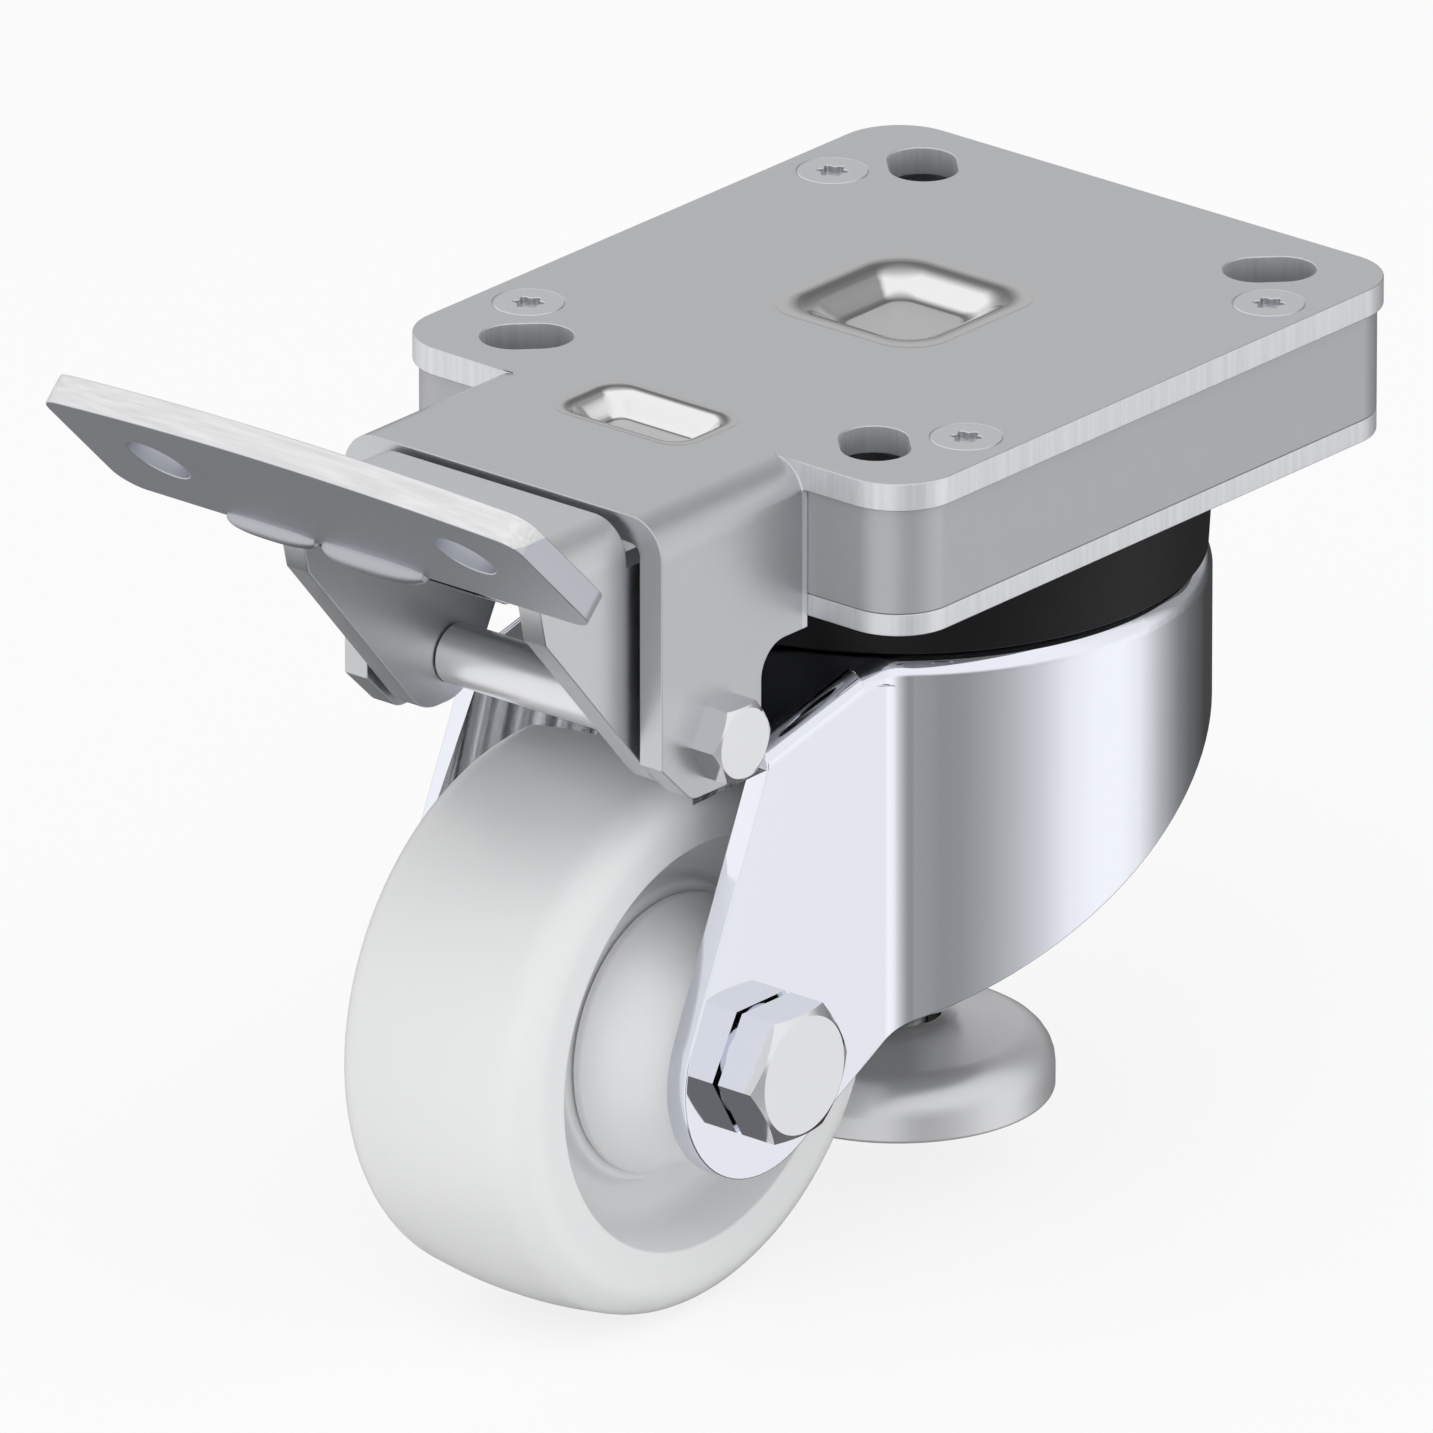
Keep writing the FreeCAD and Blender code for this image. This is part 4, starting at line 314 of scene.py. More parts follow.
def object_place(tree, stretch):
    """Object coordinates, stretched along the axes."""
    mapping = new_node(tree, "ShaderNodeMapping")
    mapping.inputs["Scale"].default_value = stretch
    link(tree, new_node(tree, "ShaderNodeTexCoord").outputs["Object"], mapping.inputs["Vector"])
    return mapping.outputs[0]


def noise(tree, stretch, scale, detail=3.0):
    """Grey noise of a given number of cells a metre."""
    node = new_node(tree, "ShaderNodeTexNoise")
    node.inputs["Scale"].default_value = scale
    node.inputs["Detail"].default_value = detail
    link(tree, object_place(tree, stretch), node.inputs["Vector"])
    return node.outputs["Fac"]


def grained(name, colour, metallic, roughness, spread, cells, stretch=(1, 1, 1), **more):
    """A finish whose roughness goes up and down by its spread, with noise of so many cells a metre."""
    material = finish(name, colour, metallic, roughness, **more)
    tree = material.node_tree
    share = maths(tree, "MULTIPLY_ADD", noise(tree, stretch, cells), 2 * spread, roughness - spread)
    link(tree, share, tree.nodes["Principled BSDF"].inputs["Roughness"])
    return material


zinc = grained("zinc plated sheet", (0.6, 0.61, 0.63), 1.0, 0.36, 0.05, 160, stretch=(1, 6, 6))
lever_zinc = grained("zinc plated lever", (0.68, 0.69, 0.71), 1.0, 0.38, 0.06, 260)
chrome = grained("chromed fork", (0.87, 0.895, 0.965), 1.0, 0.045, 0.008, 40)
bright = grained("bright plated bolts", (0.83, 0.835, 0.86), 1.0, 0.1, 0.02, 200)
tube_steel = grained("plated tube", (0.85, 0.855, 0.87), 0.75, 0.3, 0.05, 150, stretch=(4, 1, 4))
foot_zinc = grained("plated foot", (0.74, 0.745, 0.76), 0.65, 0.34, 0.04, 220)
plain_steel = grained("plain steel", (0.45, 0.455, 0.46), 1.0, 0.4, 0.06, 200)
screw_zinc = grained("plated screws", (0.66, 0.67, 0.69), 1.0, 0.3, 0.03, 200)
bearing_steel = grained("bearing steel", (0.62, 0.62, 0.63), 1.0, 0.18, 0.03, 200)
nylon = grained("white nylon", (0.8, 0.805, 0.81), 0.0, 0.32, 0.04, 300, **{
    "Subsurface Weight": 0.15, "Subsurface Radius": (0.003, 0.003, 0.003), "Subsurface Scale": 1.0})
rubber = grained("black seal", (0.006, 0.006, 0.007), 0.0, 0.4, 0.05, 500, **{"Specular IOR Level": 0.2})
print("finishes", len(bpy.data.materials))

# %% [markdown]
# The record says which finish belongs to each node, by slot. Every node gets its finish here, also those
# that a dressed piece will stand for later.

# %% Finish of every node
FINISH_OF_SLOT = {
    "plate": zinc, "lever": lever_zinc, "fork": chrome, "screws": screw_zinc, "bolts": bright,
    "tube": tube_steel, "foot": foot_zinc, "inner_steel": plain_steel, "bearing": bearing_steel,
    "nylon": nylon, "black": rubber,
}
slot_of = {part["node"]: part["material_slot"] for part in frame["record"]["subparts"]}
body_of = {node: body for body, held in frame["record"]["behaviour"]["bodies"].items() for node in held}
for node, thing in nodes.items():
    thing.data.materials.clear()
    thing.data.materials.append(FINISH_OF_SLOT[slot_of[node]])
print("nodes with a finish", len(nodes))

# %% [markdown]
# Nearly every new piece is a grid of points, worked out as whole arrays. These helpers join the
# neighbours in the grid to faces, make a mesh of them and turn the mesh into a piece: it rides with the
# body of the node that it stands for, and takes the finish of that node's slot unless it is given one.


# %% Surfaces
ROUND = 96
SMOOTH_ANGLE = math.radians(28)
SAME_PLACE = 2e-6


def grid_faces(rows, columns, close_rows=False, close_columns=False, first=0):
    """Four-sided faces between the neighbours of a grid of points that is stored row by row."""
    row = np.arange(rows if close_rows else rows - 1)[:, None]
    column = np.arange(columns if close_columns else columns - 1)[None, :]
    next_row = (row + 1) % rows
    next_column = (column + 1) % columns
    corners = [row * columns + column, next_row * columns + column,
               next_row * columns + next_column, row * columns + next_column]
    return first + np.stack([np.broadcast_to(c, (len(row), column.shape[1])) for c in corners],
                            axis=-1).reshape(-1, 4)


def place_piece(name, mesh, node, material=None, hide=True):
    """Makes a mesh a piece: it rides with the body of a node, takes the finish of its slot and can stand for
    it.
    """
    mesh.polygons.foreach_set("use_smooth", np.ones(len(mesh.polygons), bool))
    piece = bpy.data.objects.new(name, mesh)
    bpy.context.scene.collection.objects.link(piece)
    mesh.materials.clear()
    mesh.materials.append(material or FINISH_OF_SLOT[slot_of[node]])
    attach(piece, body_of[node])
    if hide:
        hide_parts(node)
    print(name, "faces", len(mesh.polygons))
    return piece


def add_piece(name, points, faces, node, sharp=SMOOTH_ANGLE, **more):
    """A piece from points in millimetres and faces; edges sharper than an angle stay crisp."""
    mesh = bpy.data.meshes.new(name)
    points = np.asarray(points).reshape(-1, 3) * MM
    mesh.from_pydata(points.tolist(), [], [list(map(int, face)) for face in faces])
    mesh.validate()
    work = bmesh.new()
    work.from_mesh(mesh)
    bmesh.ops.remove_doubles(work, verts=work.verts, dist=SAME_PLACE)
    bmesh.ops.recalc_face_normals(work, faces=work.faces)
    work.to_mesh(mesh)
    work.free()
    mesh.set_sharp_from_angle(angle=sharp)
    return place_piece(name, mesh, node, **more)


print("points round a turned piece", ROUND)

# %% [markdown]
# Most parts of a castor are turned, so they are a line carried round an axis. The line is drawn as
# corners with radii. Between two straight runs each corner gets an arc, and a point just outside each end
# of the arc keeps the flat beside it flat when the shading is smoothed.


# %% Turned pieces
def rounded_line(corners, radii, steps=6, hold=0.05):
    """A line through corners, with an arc of the given radius at each corner where it isn't zero.

    The arc touches both runs at radius / tan(half the angle) from the corner, and its
    middle lies on the line that halves the angle.
    """
    corners = np.asarray(corners, float)
    line = [corners[0]]
    for before, corner, after, radius in zip(corners, corners[1:], corners[2:], radii[1:]):
        if radius == 0:
            line.append(corner)
            continue
        one = (before - corner) / np.linalg.norm(before - corner)
        two = (after - corner) / np.linalg.norm(after - corner)
        half = math.acos(np.clip(one @ two, -1, 1)) / 2
        reach = radius / math.tan(half)
        middle = corner + (one + two) / np.linalg.norm(one + two) * radius / math.sin(half)
        start = corner + one * reach - middle
        end = corner + two * reach - middle
        share = np.linspace(0, 1, steps + 1)[:, None]
        span = math.pi - 2 * half
        arc = (np.sin((1 - share) * span) * start + np.sin(share * span) * end) / math.sin(span)
        line.append(corner + one * (reach + hold))
        line.extend(middle + arc)
        line.append(corner + two * (reach + hold))
    line.append(corners[-1])
    return np.array(line)


def lathe(profile, centre, along="Z", count=ROUND):
    """Points of a profile carried round an axis: radius times cosine and sine, and height along the axis."""
    angle = np.linspace(0, 2 * math.pi, count, endpoint=False)[:, None]
    radius = profile[None, :, 0]
    height = np.broadcast_to(profile[None, :, 1], (count, len(profile)))
    first = radius * np.cos(angle)
    second = radius * np.sin(angle)
    points = (first, second, height) if along == "Z" else (first, height, second)
    return np.stack(points, axis=-1) + np.asarray(centre, float)


def turned(name, node, corners, radii, centre, along="Z", count=ROUND, steps=6, closed=True, **more):
    """A turned piece: the rounded line of its corners carried round its axis."""
    profile = rounded_line(corners, radii, steps)
    points = lathe(profile, centre, along, count)
    faces = grid_faces(count, len(profile), close_rows=True, close_columns=closed)
    return add_piece(name, points, faces, node, **more)


one_corner = rounded_line([(0, 0), (1, 0), (1, 1)], [0, 0.5, 0])
print("points of one rounded corner", len(one_corner) - 2)

# %% [markdown]
# The sheet parts keep the form of their solids, because bends and cut-outs are already right there. What
# a plain solid lacks is the broken edge of real sheet: a thin bevel that catches the light. So each sheet
# part is a copy of its solid's mesh with the loose triangles merged and the flats joined, and two
# modifiers: one bevels the sharp edges, and one leans the shading towards the large faces, so that flats
# stay flat.

# %% Sheet parts
FLAT_ANGLE = math.radians(0.6)
EDGE_ANGLE = math.radians(30)
CORNER_SEGMENTS = 8


def sheet_part(name, node, edge=0.25, change=None, drop=None, corner=None, radius=0.0, **more):
    """A bevelled copy of a node.

    change takes the points in millimetres and returns them moved; drop takes the
    middles and the normals of the faces and tells which of them to leave out;
    corner takes the middles and the directions of the edges and tells which to round.
    """
    work = bmesh.new()
    work.from_mesh(nodes[node].data)
    bmesh.ops.remove_doubles(work, verts=work.verts, dist=SAME_PLACE)
    if change:
        points = change(np.array([v.co for v in work.verts]) / MM)
        for vertex, point in zip(work.verts, points):
            vertex.co = point * MM
        bmesh.ops.remove_doubles(work, verts=work.verts, dist=SAME_PLACE)
    if drop:
        middles = np.array([face.calc_center_median() for face in work.faces]) / MM
        normals = np.array([face.normal for face in work.faces])
        gone = drop(middles, normals)
        bmesh.ops.delete(work, geom=[face for face, out in zip(list(work.faces), gone) if out],
                         context="FACES")
    bmesh.ops.dissolve_limit(work, angle_limit=FLAT_ANGLE, verts=work.verts, edges=work.edges)
    if corner:
        ends = np.array([[list(v.co) for v in e.verts] for e in work.edges]) / MM
        chosen = corner(ends.mean(axis=1), ends[:, 1] - ends[:, 0])
        bmesh.ops.bevel(work, geom=[edge for edge, yes in zip(list(work.edges), chosen) if yes],
                        offset=radius * MM, segments=CORNER_SEGMENTS, profile=0.5, affect="EDGES")
    mesh = bpy.data.meshes.new(name)
    work.to_mesh(mesh)
    work.free()
    piece = place_piece(name, mesh, node, **more)
    bevel = piece.modifiers.new("broken edges", "BEVEL")
    bevel.width = edge * MM
    bevel.segments = 2
    bevel.limit_method = "ANGLE"
    bevel.angle_limit = EDGE_ANGLE
    bevel.use_clamp_overlap = False
    bevel.harden_normals = True
    shading = piece.modifiers.new("flat faces", "WEIGHTED_NORMAL")
    shading.keep_sharp = True
    return piece


print("edges over", round(math.degrees(EDGE_ANGLE)), "degrees get a bevel")

# %% [markdown]
# A sheet part is cut by laser, and its cut edge looks lighter and duller than its face, with fine lines
# across the edge. One material can show both: it measures how far the surface turns away from the sheet's
# own direction, and blends the edge look in where it does. A bent flap turns away as well, though nothing
# is cut there, so the edge look can be kept to one side of a place along an axis.


# %% Cut edges
TURN_FIRST = 0.35
TURN_LAST = 0.6
FACE_CELLS = 260
FACE_DETAIL = 2.0
FACE_SPREAD = 0.04
EDGE_STREAKS = 900
STREAK_DETAIL = 4.0
STREAK_GREYS = [(0.3, 0.0), (0.7, 1.0)]
EDGE_RELIEF = 0.03


def turned_away(tree, axis):
    """0 where the surface faces along an axis of the object, and 1 where it is turned away from it."""
    product = new_node(tree, "ShaderNodeVectorMath", operation="DOT_PRODUCT")
    link(tree, new_node(tree, "ShaderNodeTexCoord").outputs["Normal"], product.inputs[0])
    product.inputs[1].default_value = axis
    facing = maths(tree, "ABSOLUTE", product.outputs["Value"])
    return ramp(tree, facing, [(1 - TURN_LAST, 1.0), (1 - TURN_FIRST, 0.0)])


def only_where(tree, share, axis, limit):
    """Keeps a share only where the place along X, Y or Z is above a limit in millimetres."""
    split = new_node(tree, "ShaderNodeSeparateXYZ")
    link(tree, new_node(tree, "ShaderNodeTexCoord").outputs["Object"], split.inputs[0])
    above = maths(tree, "GREATER_THAN", split.outputs[axis], limit * MM)
    return maths(tree, "MULTIPLY", share, above)


def cut_sheet(name, face, edge, axis, lines, limit=None, relief=0.12):
    """A sheet material with two looks, for its face and for its cut edge.

    face and edge are (colour, metallic, roughness); axis is the direction that the face
    looks in, and lines stretches the streaks of the edge. limit names an axis and a place
    in millimetres below which all is face, and relief is the strength of the streaks.
    """
    material = finish(name, *face)
    tree = material.node_tree
    shader = tree.nodes["Principled BSDF"]
    share = turned_away(tree, axis)
    if limit:
        share = only_where(tree, share, *limit)
    cells = noise(tree, (1, 1, 1), FACE_CELLS, FACE_DETAIL)
    streaks = noise(tree, lines, EDGE_STREAKS, STREAK_DETAIL)
    edge_colour = blend(tree, ramp(tree, streaks, STREAK_GREYS),
                        tuple((1 - relief) * c for c in edge[0]), edge[0])
    link(tree, blend(tree, share, face[0], edge_colour), shader.inputs["Base Color"])
    rough_face = maths(tree, "MULTIPLY_ADD", cells, 2 * FACE_SPREAD, face[2] - FACE_SPREAD)
    link(tree, blend(tree, share, rough_face, edge[2]), shader.inputs["Roughness"])
    link(tree, maths(tree, "MULTIPLY_ADD", share, edge[1] - face[1], face[1]), shader.inputs["Metallic"])
    bump = new_node(tree, "ShaderNodeBump")
    bump.inputs["Strength"].default_value = relief
    bump.inputs["Distance"].default_value = EDGE_RELIEF * MM
    link(tree, maths(tree, "MULTIPLY", streaks, share), bump.inputs["Height"])
    link(tree, bump.outputs["Normal"], shader.inputs["Normal"])
    return material


print("the edge look starts", round(math.degrees(math.acos(1 - TURN_FIRST))), "degrees from the face")

# %% [markdown]
# The top plate shows its cut edge only as far as the tongue, whose cheeks are bent down. The pedal's plate
# slopes at 45 degrees, so its face looks along X and Z alike; only its upper edge, where light falls, gets
# the light cut-edge look, partly a painted highlight. The frame between the plates and the weld have one look
# each.

# %% Sheet finishes
SHEET_FACE = ((0.61, 0.62, 0.64), 1.0, 0.36)
SHEET_EDGE = ((0.8, 0.81, 0.84), 0.7, 0.42)
WALL_FACE = ((0.47, 0.48, 0.5), 0.65, 0.42)
PEDAL_FACE = ((0.62, 0.64, 0.69), 1.0, 0.42)
# cut-edge look and painted highlight: this lighter look goes on the pedal's upper edge only
PEDAL_EDGE_AND_HIGHLIGHT = ((0.82, 0.82, 0.83), 0.5, 0.45)
UP = (0, 0, 1)
FINE_LINES = (1, 1, 0.04)
TONGUE_ENDS = ("X", -67.4)
# painted highlight: the light edge look is kept above this height, on the pedal's upper edge
UPPER_EDGE_HIGHLIGHT = ("Z", 17.5)

lean = math.sqrt(0.5)
plate_sheet = cut_sheet("top plate sheet", SHEET_FACE, SHEET_EDGE, UP, FINE_LINES, TONGUE_ENDS)
base_sheet = cut_sheet("base plate sheet", SHEET_FACE, SHEET_EDGE, UP, FINE_LINES)
frame_sheet = grained("frame wall", *WALL_FACE, 0.04, 240)
pedal_sheet = cut_sheet("pedal sheet", PEDAL_FACE, PEDAL_EDGE_AND_HIGHLIGHT, (lean, 0, lean), (1.4, 0.05, 1.4), UPPER_EDGE_HIGHLIGHT,
                        relief=0.16)
weld = grained("weld", (0.52, 0.53, 0.57), 1.0, 0.42, 0.05, 300)
print("finishes", len(bpy.data.materials))

# %% [markdown]
# The two pressed recesses carry painted shade and highlight in their colour: their bends are painted darker
# than their steep walls, and the flats are left satin. How steep a place is can be read from the upward
# part of its direction, so two ramps of it give the painted shade and the polish.

# %% Pressed recesses
# painted shade and highlight: the grey of the recess colour is chosen by how far a place faces up
SLOPE_PAINTED_SHADE = [(0.84, 0.85), (0.89, 0.5), (0.94, 0.28), (0.98, 0.2), (0.995, 0.4), (0.9995, 0.63)]
POLISH = [(0.99, 0.08), (0.9995, 0.36)]

pressed = finish("pressed recess", (0.8, 0.8, 0.8), 1.0, 0.08)
tree = pressed.node_tree
upward = new_node(tree, "ShaderNodeSeparateXYZ")
link(tree, new_node(tree, "ShaderNodeTexCoord").outputs["Normal"], upward.inputs[0])
painted_shade = ramp(tree, upward.outputs["Z"], SLOPE_PAINTED_SHADE)
polish = ramp(tree, upward.outputs["Z"], POLISH)
# the painted shade goes into the base colour
link(tree, painted_shade, tree.nodes["Principled BSDF"].inputs["Base Color"])
link(tree, polish, tree.nodes["Principled BSDF"].inputs["Roughness"])
print("shades down the wall of a recess", len(SLOPE_PAINTED_SHADE))

# %% [markdown]
# The wheel is one moulding of nylon. Its tread is slightly crowned, so its section is not a rectangle
# with round corners: it falls from the middle to the shoulders. The web lies deep between rim and hub.
# The section is drawn as corners with radii and turned round the axle. Real mouldings have no sharp edge,
# so even the inner edge of the rim gets a small radius.

# %% Wheel
RIM_INNER = 36.5
RIM_DRAFT = 2.5
WEB_HALF = 9.0
WEB_ROUND = 5.0
HUB_RADIUS = 26.0
HUB_HALF = 12.0
HUB_ROUND = 1.5
HUB_TAPER = 1.0
BEARING_RADIUS = 17.5
BEARING_STOP = 14.5
BEARING_SEAT = 2.0
TREAD_FLAT = 6.0
TREAD_CROWN = 2.0
TREAD_ROUND = 80.0
SHOULDER = 7.0

wheel_radius = (wheel_high[0] - wheel_low[0]) / 2
wheel_half = wheel_high[1]
axle = (wheel_centre[0], 0, wheel_centre[2])
half_wheel = [
    (BEARING_STOP, BEARING_SEAT), (BEARING_RADIUS, BEARING_SEAT), (BEARING_RADIUS, HUB_HALF),
    (HUB_RADIUS, HUB_HALF), (HUB_RADIUS + HUB_TAPER, WEB_HALF), (RIM_INNER - RIM_DRAFT, WEB_HALF),
    (RIM_INNER, wheel_half), (wheel_radius - TREAD_CROWN, wheel_half), (wheel_radius, TREAD_FLAT),
]
half_radii = [0, 0, 0.4, 0.7, HUB_ROUND, WEB_ROUND, 0.5, SHOULDER, TREAD_ROUND]
wheel_corners = half_wheel + [(radius, -y) for radius, y in half_wheel[::-1]]
turned("wheel_moulding", "wheel", wheel_corners, half_radii + half_radii[::-1], axle, along="Y",
       count=192, steps=10)

# %% [markdown]
# A thread guard is the axle collar widened to a cap, so that no thread winds itself into the bearing. It
# is a moulded cup: a cone from the fork leg to the hub's edge, with an even wall and its mouth to the
# wheel.

# %% Thread guards
GUARD_TOP = 15.0
GUARD_WIDE = 24.5
GUARD_WALL = 2.0
GUARD_EDGE = 1.5
GUARD_CLEARANCE = 0.5
COLLAR_BORE = 8.5
COLLAR_RADIUS = 10.8

leg_inside = box_corners("axle_collars")[1][1]
lip = HUB_HALF + GUARD_CLEARANCE
guard = [
    (COLLAR_BORE, leg_inside), (GUARD_TOP, leg_inside), (GUARD_WIDE, lip + GUARD_EDGE), (GUARD_WIDE, lip),
    (GUARD_WIDE - GUARD_WALL, lip), (GUARD_TOP - GUARD_WALL, leg_inside - GUARD_WALL),
    (COLLAR_RADIUS, leg_inside - GUARD_WALL), (COLLAR_RADIUS, HUB_HALF), (COLLAR_BORE, HUB_HALF),
    (COLLAR_BORE, leg_inside),
]
guard_radii = [0, 0.8, 1.2, 0.4, 0.4, 0.8, 0.5, 0, 0, 0]
for side, sign in (("near", -1), ("far", 1)):
    turned("thread_guard_" + side, "axle_collars", [(radius, sign * y) for radius, y in guard], guard_radii,
           axle, along="Y", count=128)

# %% [markdown]
# The foot is a turned disc with an upright band, a broad rounding and a shallow cone up to the joint. The
# black cover ring tapers a little towards the fork.

# %% Foot disc and cover ring
FOOT_DROP = 3.9
FOOT_NECK = 10.5
FOOT_ROUND = 7.0
SOCKET_MOUTH = 7.5
SOCKET_DOWN = 4.0
NEAR_AXIS = 0.01

foot_radius = foot_high[0]
foot_top = foot_high[2]
foot_low_edge = foot_low[2]
turned("foot_turning", "foot_disc", [
    (NEAR_AXIS, foot_low_edge), (foot_radius, foot_low_edge), (foot_radius, foot_top - FOOT_DROP),
    (FOOT_NECK, foot_top), (SOCKET_MOUTH, foot_top), (SOCKET_MOUTH, foot_top - SOCKET_DOWN),
    (NEAR_AXIS, foot_top - SOCKET_DOWN)],
    [0, 0.8, FOOT_ROUND, 1.0, 0.5, 0, 0], (0, 0, 0), count=128, closed=False)

ring_low, ring_high = box_corners("cover_ring")
SEAL_TAPER = 0.9
SEAL_WALL = 3.0
ring_outer = ring_high[0]
turned("cover_ring_turning", "cover_ring", [
    (ring_outer - SEAL_WALL, ring_high[2]), (ring_outer, ring_high[2]),
    (ring_outer - SEAL_TAPER, ring_low[2]), (ring_outer - SEAL_TAPER - SEAL_WALL, ring_low[2]),
    (ring_outer - SEAL_WALL, ring_high[2])],
    [0, 0.3, 0.4, 0, 0], (0, 0, 0), count=160)

# %% [markdown]
# In plan a recess of the top plate is a rounded rectangle that shrinks from the lip to the flat. Along
# the way from lip to flat the depth follows half a cosine wave, taken of a power of the way. So the upper
# bend is wide, the wall is steep and the lower bend is tight. The wall ends a little before the flat
# begins.

# %% Recesses
RECESS_DEPTH = 4.2
RECESS_STEPS = 28
RECESS_LIP = 0.6
WALL_ENDS = 0.9
WALL_POWER = 1.55
LIFT = 0.01
CORNER_POINTS = 24
RING_POINTS = 4 * CORNER_POINTS
LIP_ANGLE = math.radians(60)


def rounded_rectangle(half_x, half_y, radius, count=CORNER_POINTS):
    """Points round a rectangle with round corners: four arcs, each a quarter of a circle."""
    angle = np.linspace(0, math.pi / 2, count)
    quarters = np.concatenate([angle + k * math.pi / 2 for k in range(4)])
    sign_x = np.sign(np.repeat([1, -1, -1, 1], count))
    sign_y = np.sign(np.repeat([1, 1, -1, -1], count))
    return np.stack([sign_x * (half_x - radius) + radius * np.cos(quarters),
                     sign_y * (half_y - radius) + radius * np.sin(quarters)], axis=-1)


def recess_skin(name, middle, outer, flat, corners_round):
    """Rings of rounded rectangles from the lip to the flat, with depth as half a cosine wave of a power.

    The first ring is a narrow lip that lies just above the plate, and the last is the
    middle of the flat.
    """
    share = np.concatenate([[0], np.linspace(0, 1, RECESS_STEPS), [1]])
    way_down = np.clip(share / WALL_ENDS, 0, 1) ** WALL_POWER
    depth = RECESS_DEPTH * (0.5 - 0.5 * np.cos(math.pi * way_down))
    rings = []
    for step, down in zip(share, depth):
        size = (1 - step) * np.array(outer) / 2 + step * np.array(flat) / 2
        radius = (1 - step) * corners_round[0] + step * corners_round[1]
        rings.append(np.column_stack([rounded_rectangle(*size, radius) + (middle, 0),
                                      np.full(RING_POINTS, -down)]))
    rings[0][:, :2] += (rings[0][:, :2] - (middle, 0)) * RECESS_LIP / max(outer)
    rings[0][:, 2] = 2 * LIFT
    rings[1][:, 2] = LIFT
    centre = np.broadcast_to([[middle, 0, -RECESS_DEPTH]], (1, RING_POINTS, 3))
    points = np.concatenate([np.stack(rings[:-1]), centre])
    return add_piece(name, points, grid_faces(len(points), RING_POINTS, close_columns=True), "top_plate",
                     material=pressed, hide=False, sharp=LIP_ANGLE)


LARGE = (1.5, (36, 35), (13.5, 13.5), (8, 3))
SMALL = (-66.5, (18, 30), (6, 16), (5, 2))
recess_skin("recess_large", *LARGE)
recess_skin("recess_small", *SMALL)

# %% [markdown]
# The plates, the frame between them and the fork are sheet parts. The top plate's own recess walls are
# coarser than the new ones, so its copy leaves them out: they are the faces below its top that look up and
# lie within the outline of a recess.

# %% Plates, frame and fork
OLD_FLOOR = -3.6
OLD_TOP = -0.001
FACES_UP = 0.2


def in_recess(middles, normals):
    """True for the faces of the plate's upper side that lie within a recess."""
    inside = np.zeros(len(middles), bool)
    for middle, outer, _, _ in (LARGE, SMALL):
        near = (abs(middles[:, 0] - middle) < outer[0] / 2) & (abs(middles[:, 1]) < outer[1] / 2)
        inside |= near & (middles[:, 2] < OLD_TOP) & (middles[:, 2] > OLD_FLOOR) & (normals[:, 2] > FACES_UP)
    return inside


sheet_part("plate_pressing", "top_plate", drop=in_recess, material=plate_sheet)
sheet_part("base_pressing", "base_plate", material=base_sheet)
sheet_part("frame_wall", "housing_frame", material=frame_sheet)
sheet_part("fork_drawing", "fork_shell", edge=0.35, material=chrome)

# %% [markdown]
# The photograph shows the pedal's plate a little lower and with smaller corners than its solid. Both are
# made here, in the copy: a place on the plate is given by its way up the slope and its way along Y.
# Points of the lower edge move down the slope, and points of the two corner arcs keep their angle and
# take a new middle and radius. The upper corners are rounded as well. The lever's web is drawn back, so
# that it stays behind the plate.

# %% Pedal
PEDAL_FOOT = (-143.7, -0.5)
PEDAL_HALF = 52.0
PEDAL_DEPTH = 26.6
OLD_CORNER = 9.0
NEW_CORNER = 5.3
LOWER = 4.2
UPPER_CORNER = 3.4
CLOSE = 0.05
NEAR_END = 0.3
NEAR_EDGE = 1.5
SAME_WAY = 0.1
LEVER_FRONT = -136.7
WEB_FROM = -8.0
WEB_TO = 0.5
BEAD_LINE = (-142.6, -1.2)
BEAD_RADIUS = 2.35
BEADS_FROM = 7.0
BEADS_TO = 17.0


def up_the_slope(points):
    """How far points lie up the slope from the solid's lower edge."""
    return (-(points[:, 0] - PEDAL_FOOT[0]) + (points[:, 2] - PEDAL_FOOT[1])) * lean


def pedal_points(points):
    """Moves the lower edge down the slope, and gives the arcs of its corners a smaller radius."""
    points = points.copy()
    up = up_the_slope(points)
    side = abs(points[:, 1])
    arc = (up < OLD_CORNER + CLOSE) & (side > PEDAL_HALF - OLD_CORNER - CLOSE)
    angle = np.arctan2(side - (PEDAL_HALF - OLD_CORNER), OLD_CORNER - up)
    new_up = np.where(up < CLOSE, -LOWER, up)
    new_up[arc] = NEW_CORNER - LOWER - NEW_CORNER * np.cos(angle[arc])
    new_side = np.where(arc, PEDAL_HALF - NEW_CORNER + NEW_CORNER * np.sin(angle), side)
    points[:, 0] -= (new_up - up) * lean
    points[:, 2] += (new_up - up) * lean
    points[:, 1] = np.sign(points[:, 1]) * new_side
    return points


def pedal_upper_corners(middles, directions):
    """True for the two short edges where the plate's ends meet its outer edge."""
    at_end = abs(middles[:, 1]) > PEDAL_HALF - NEAR_END
    at_top = up_the_slope(middles) > PEDAL_DEPTH - NEAR_EDGE
    across = (abs(directions[:, 1]) < SAME_WAY) & (abs(directions[:, 0] - directions[:, 2]) < SAME_WAY)
    return at_end & at_top & across


def lever_points(points):
    """Draws the front edge of the lever's web back, so that it stays behind the lowered pedal plate."""
    points = points.copy()
    front = (points[:, 0] < LEVER_FRONT) & (points[:, 2] > WEB_FROM) & (points[:, 2] < WEB_TO)
    points[front, 0] = LEVER_FRONT
    return points


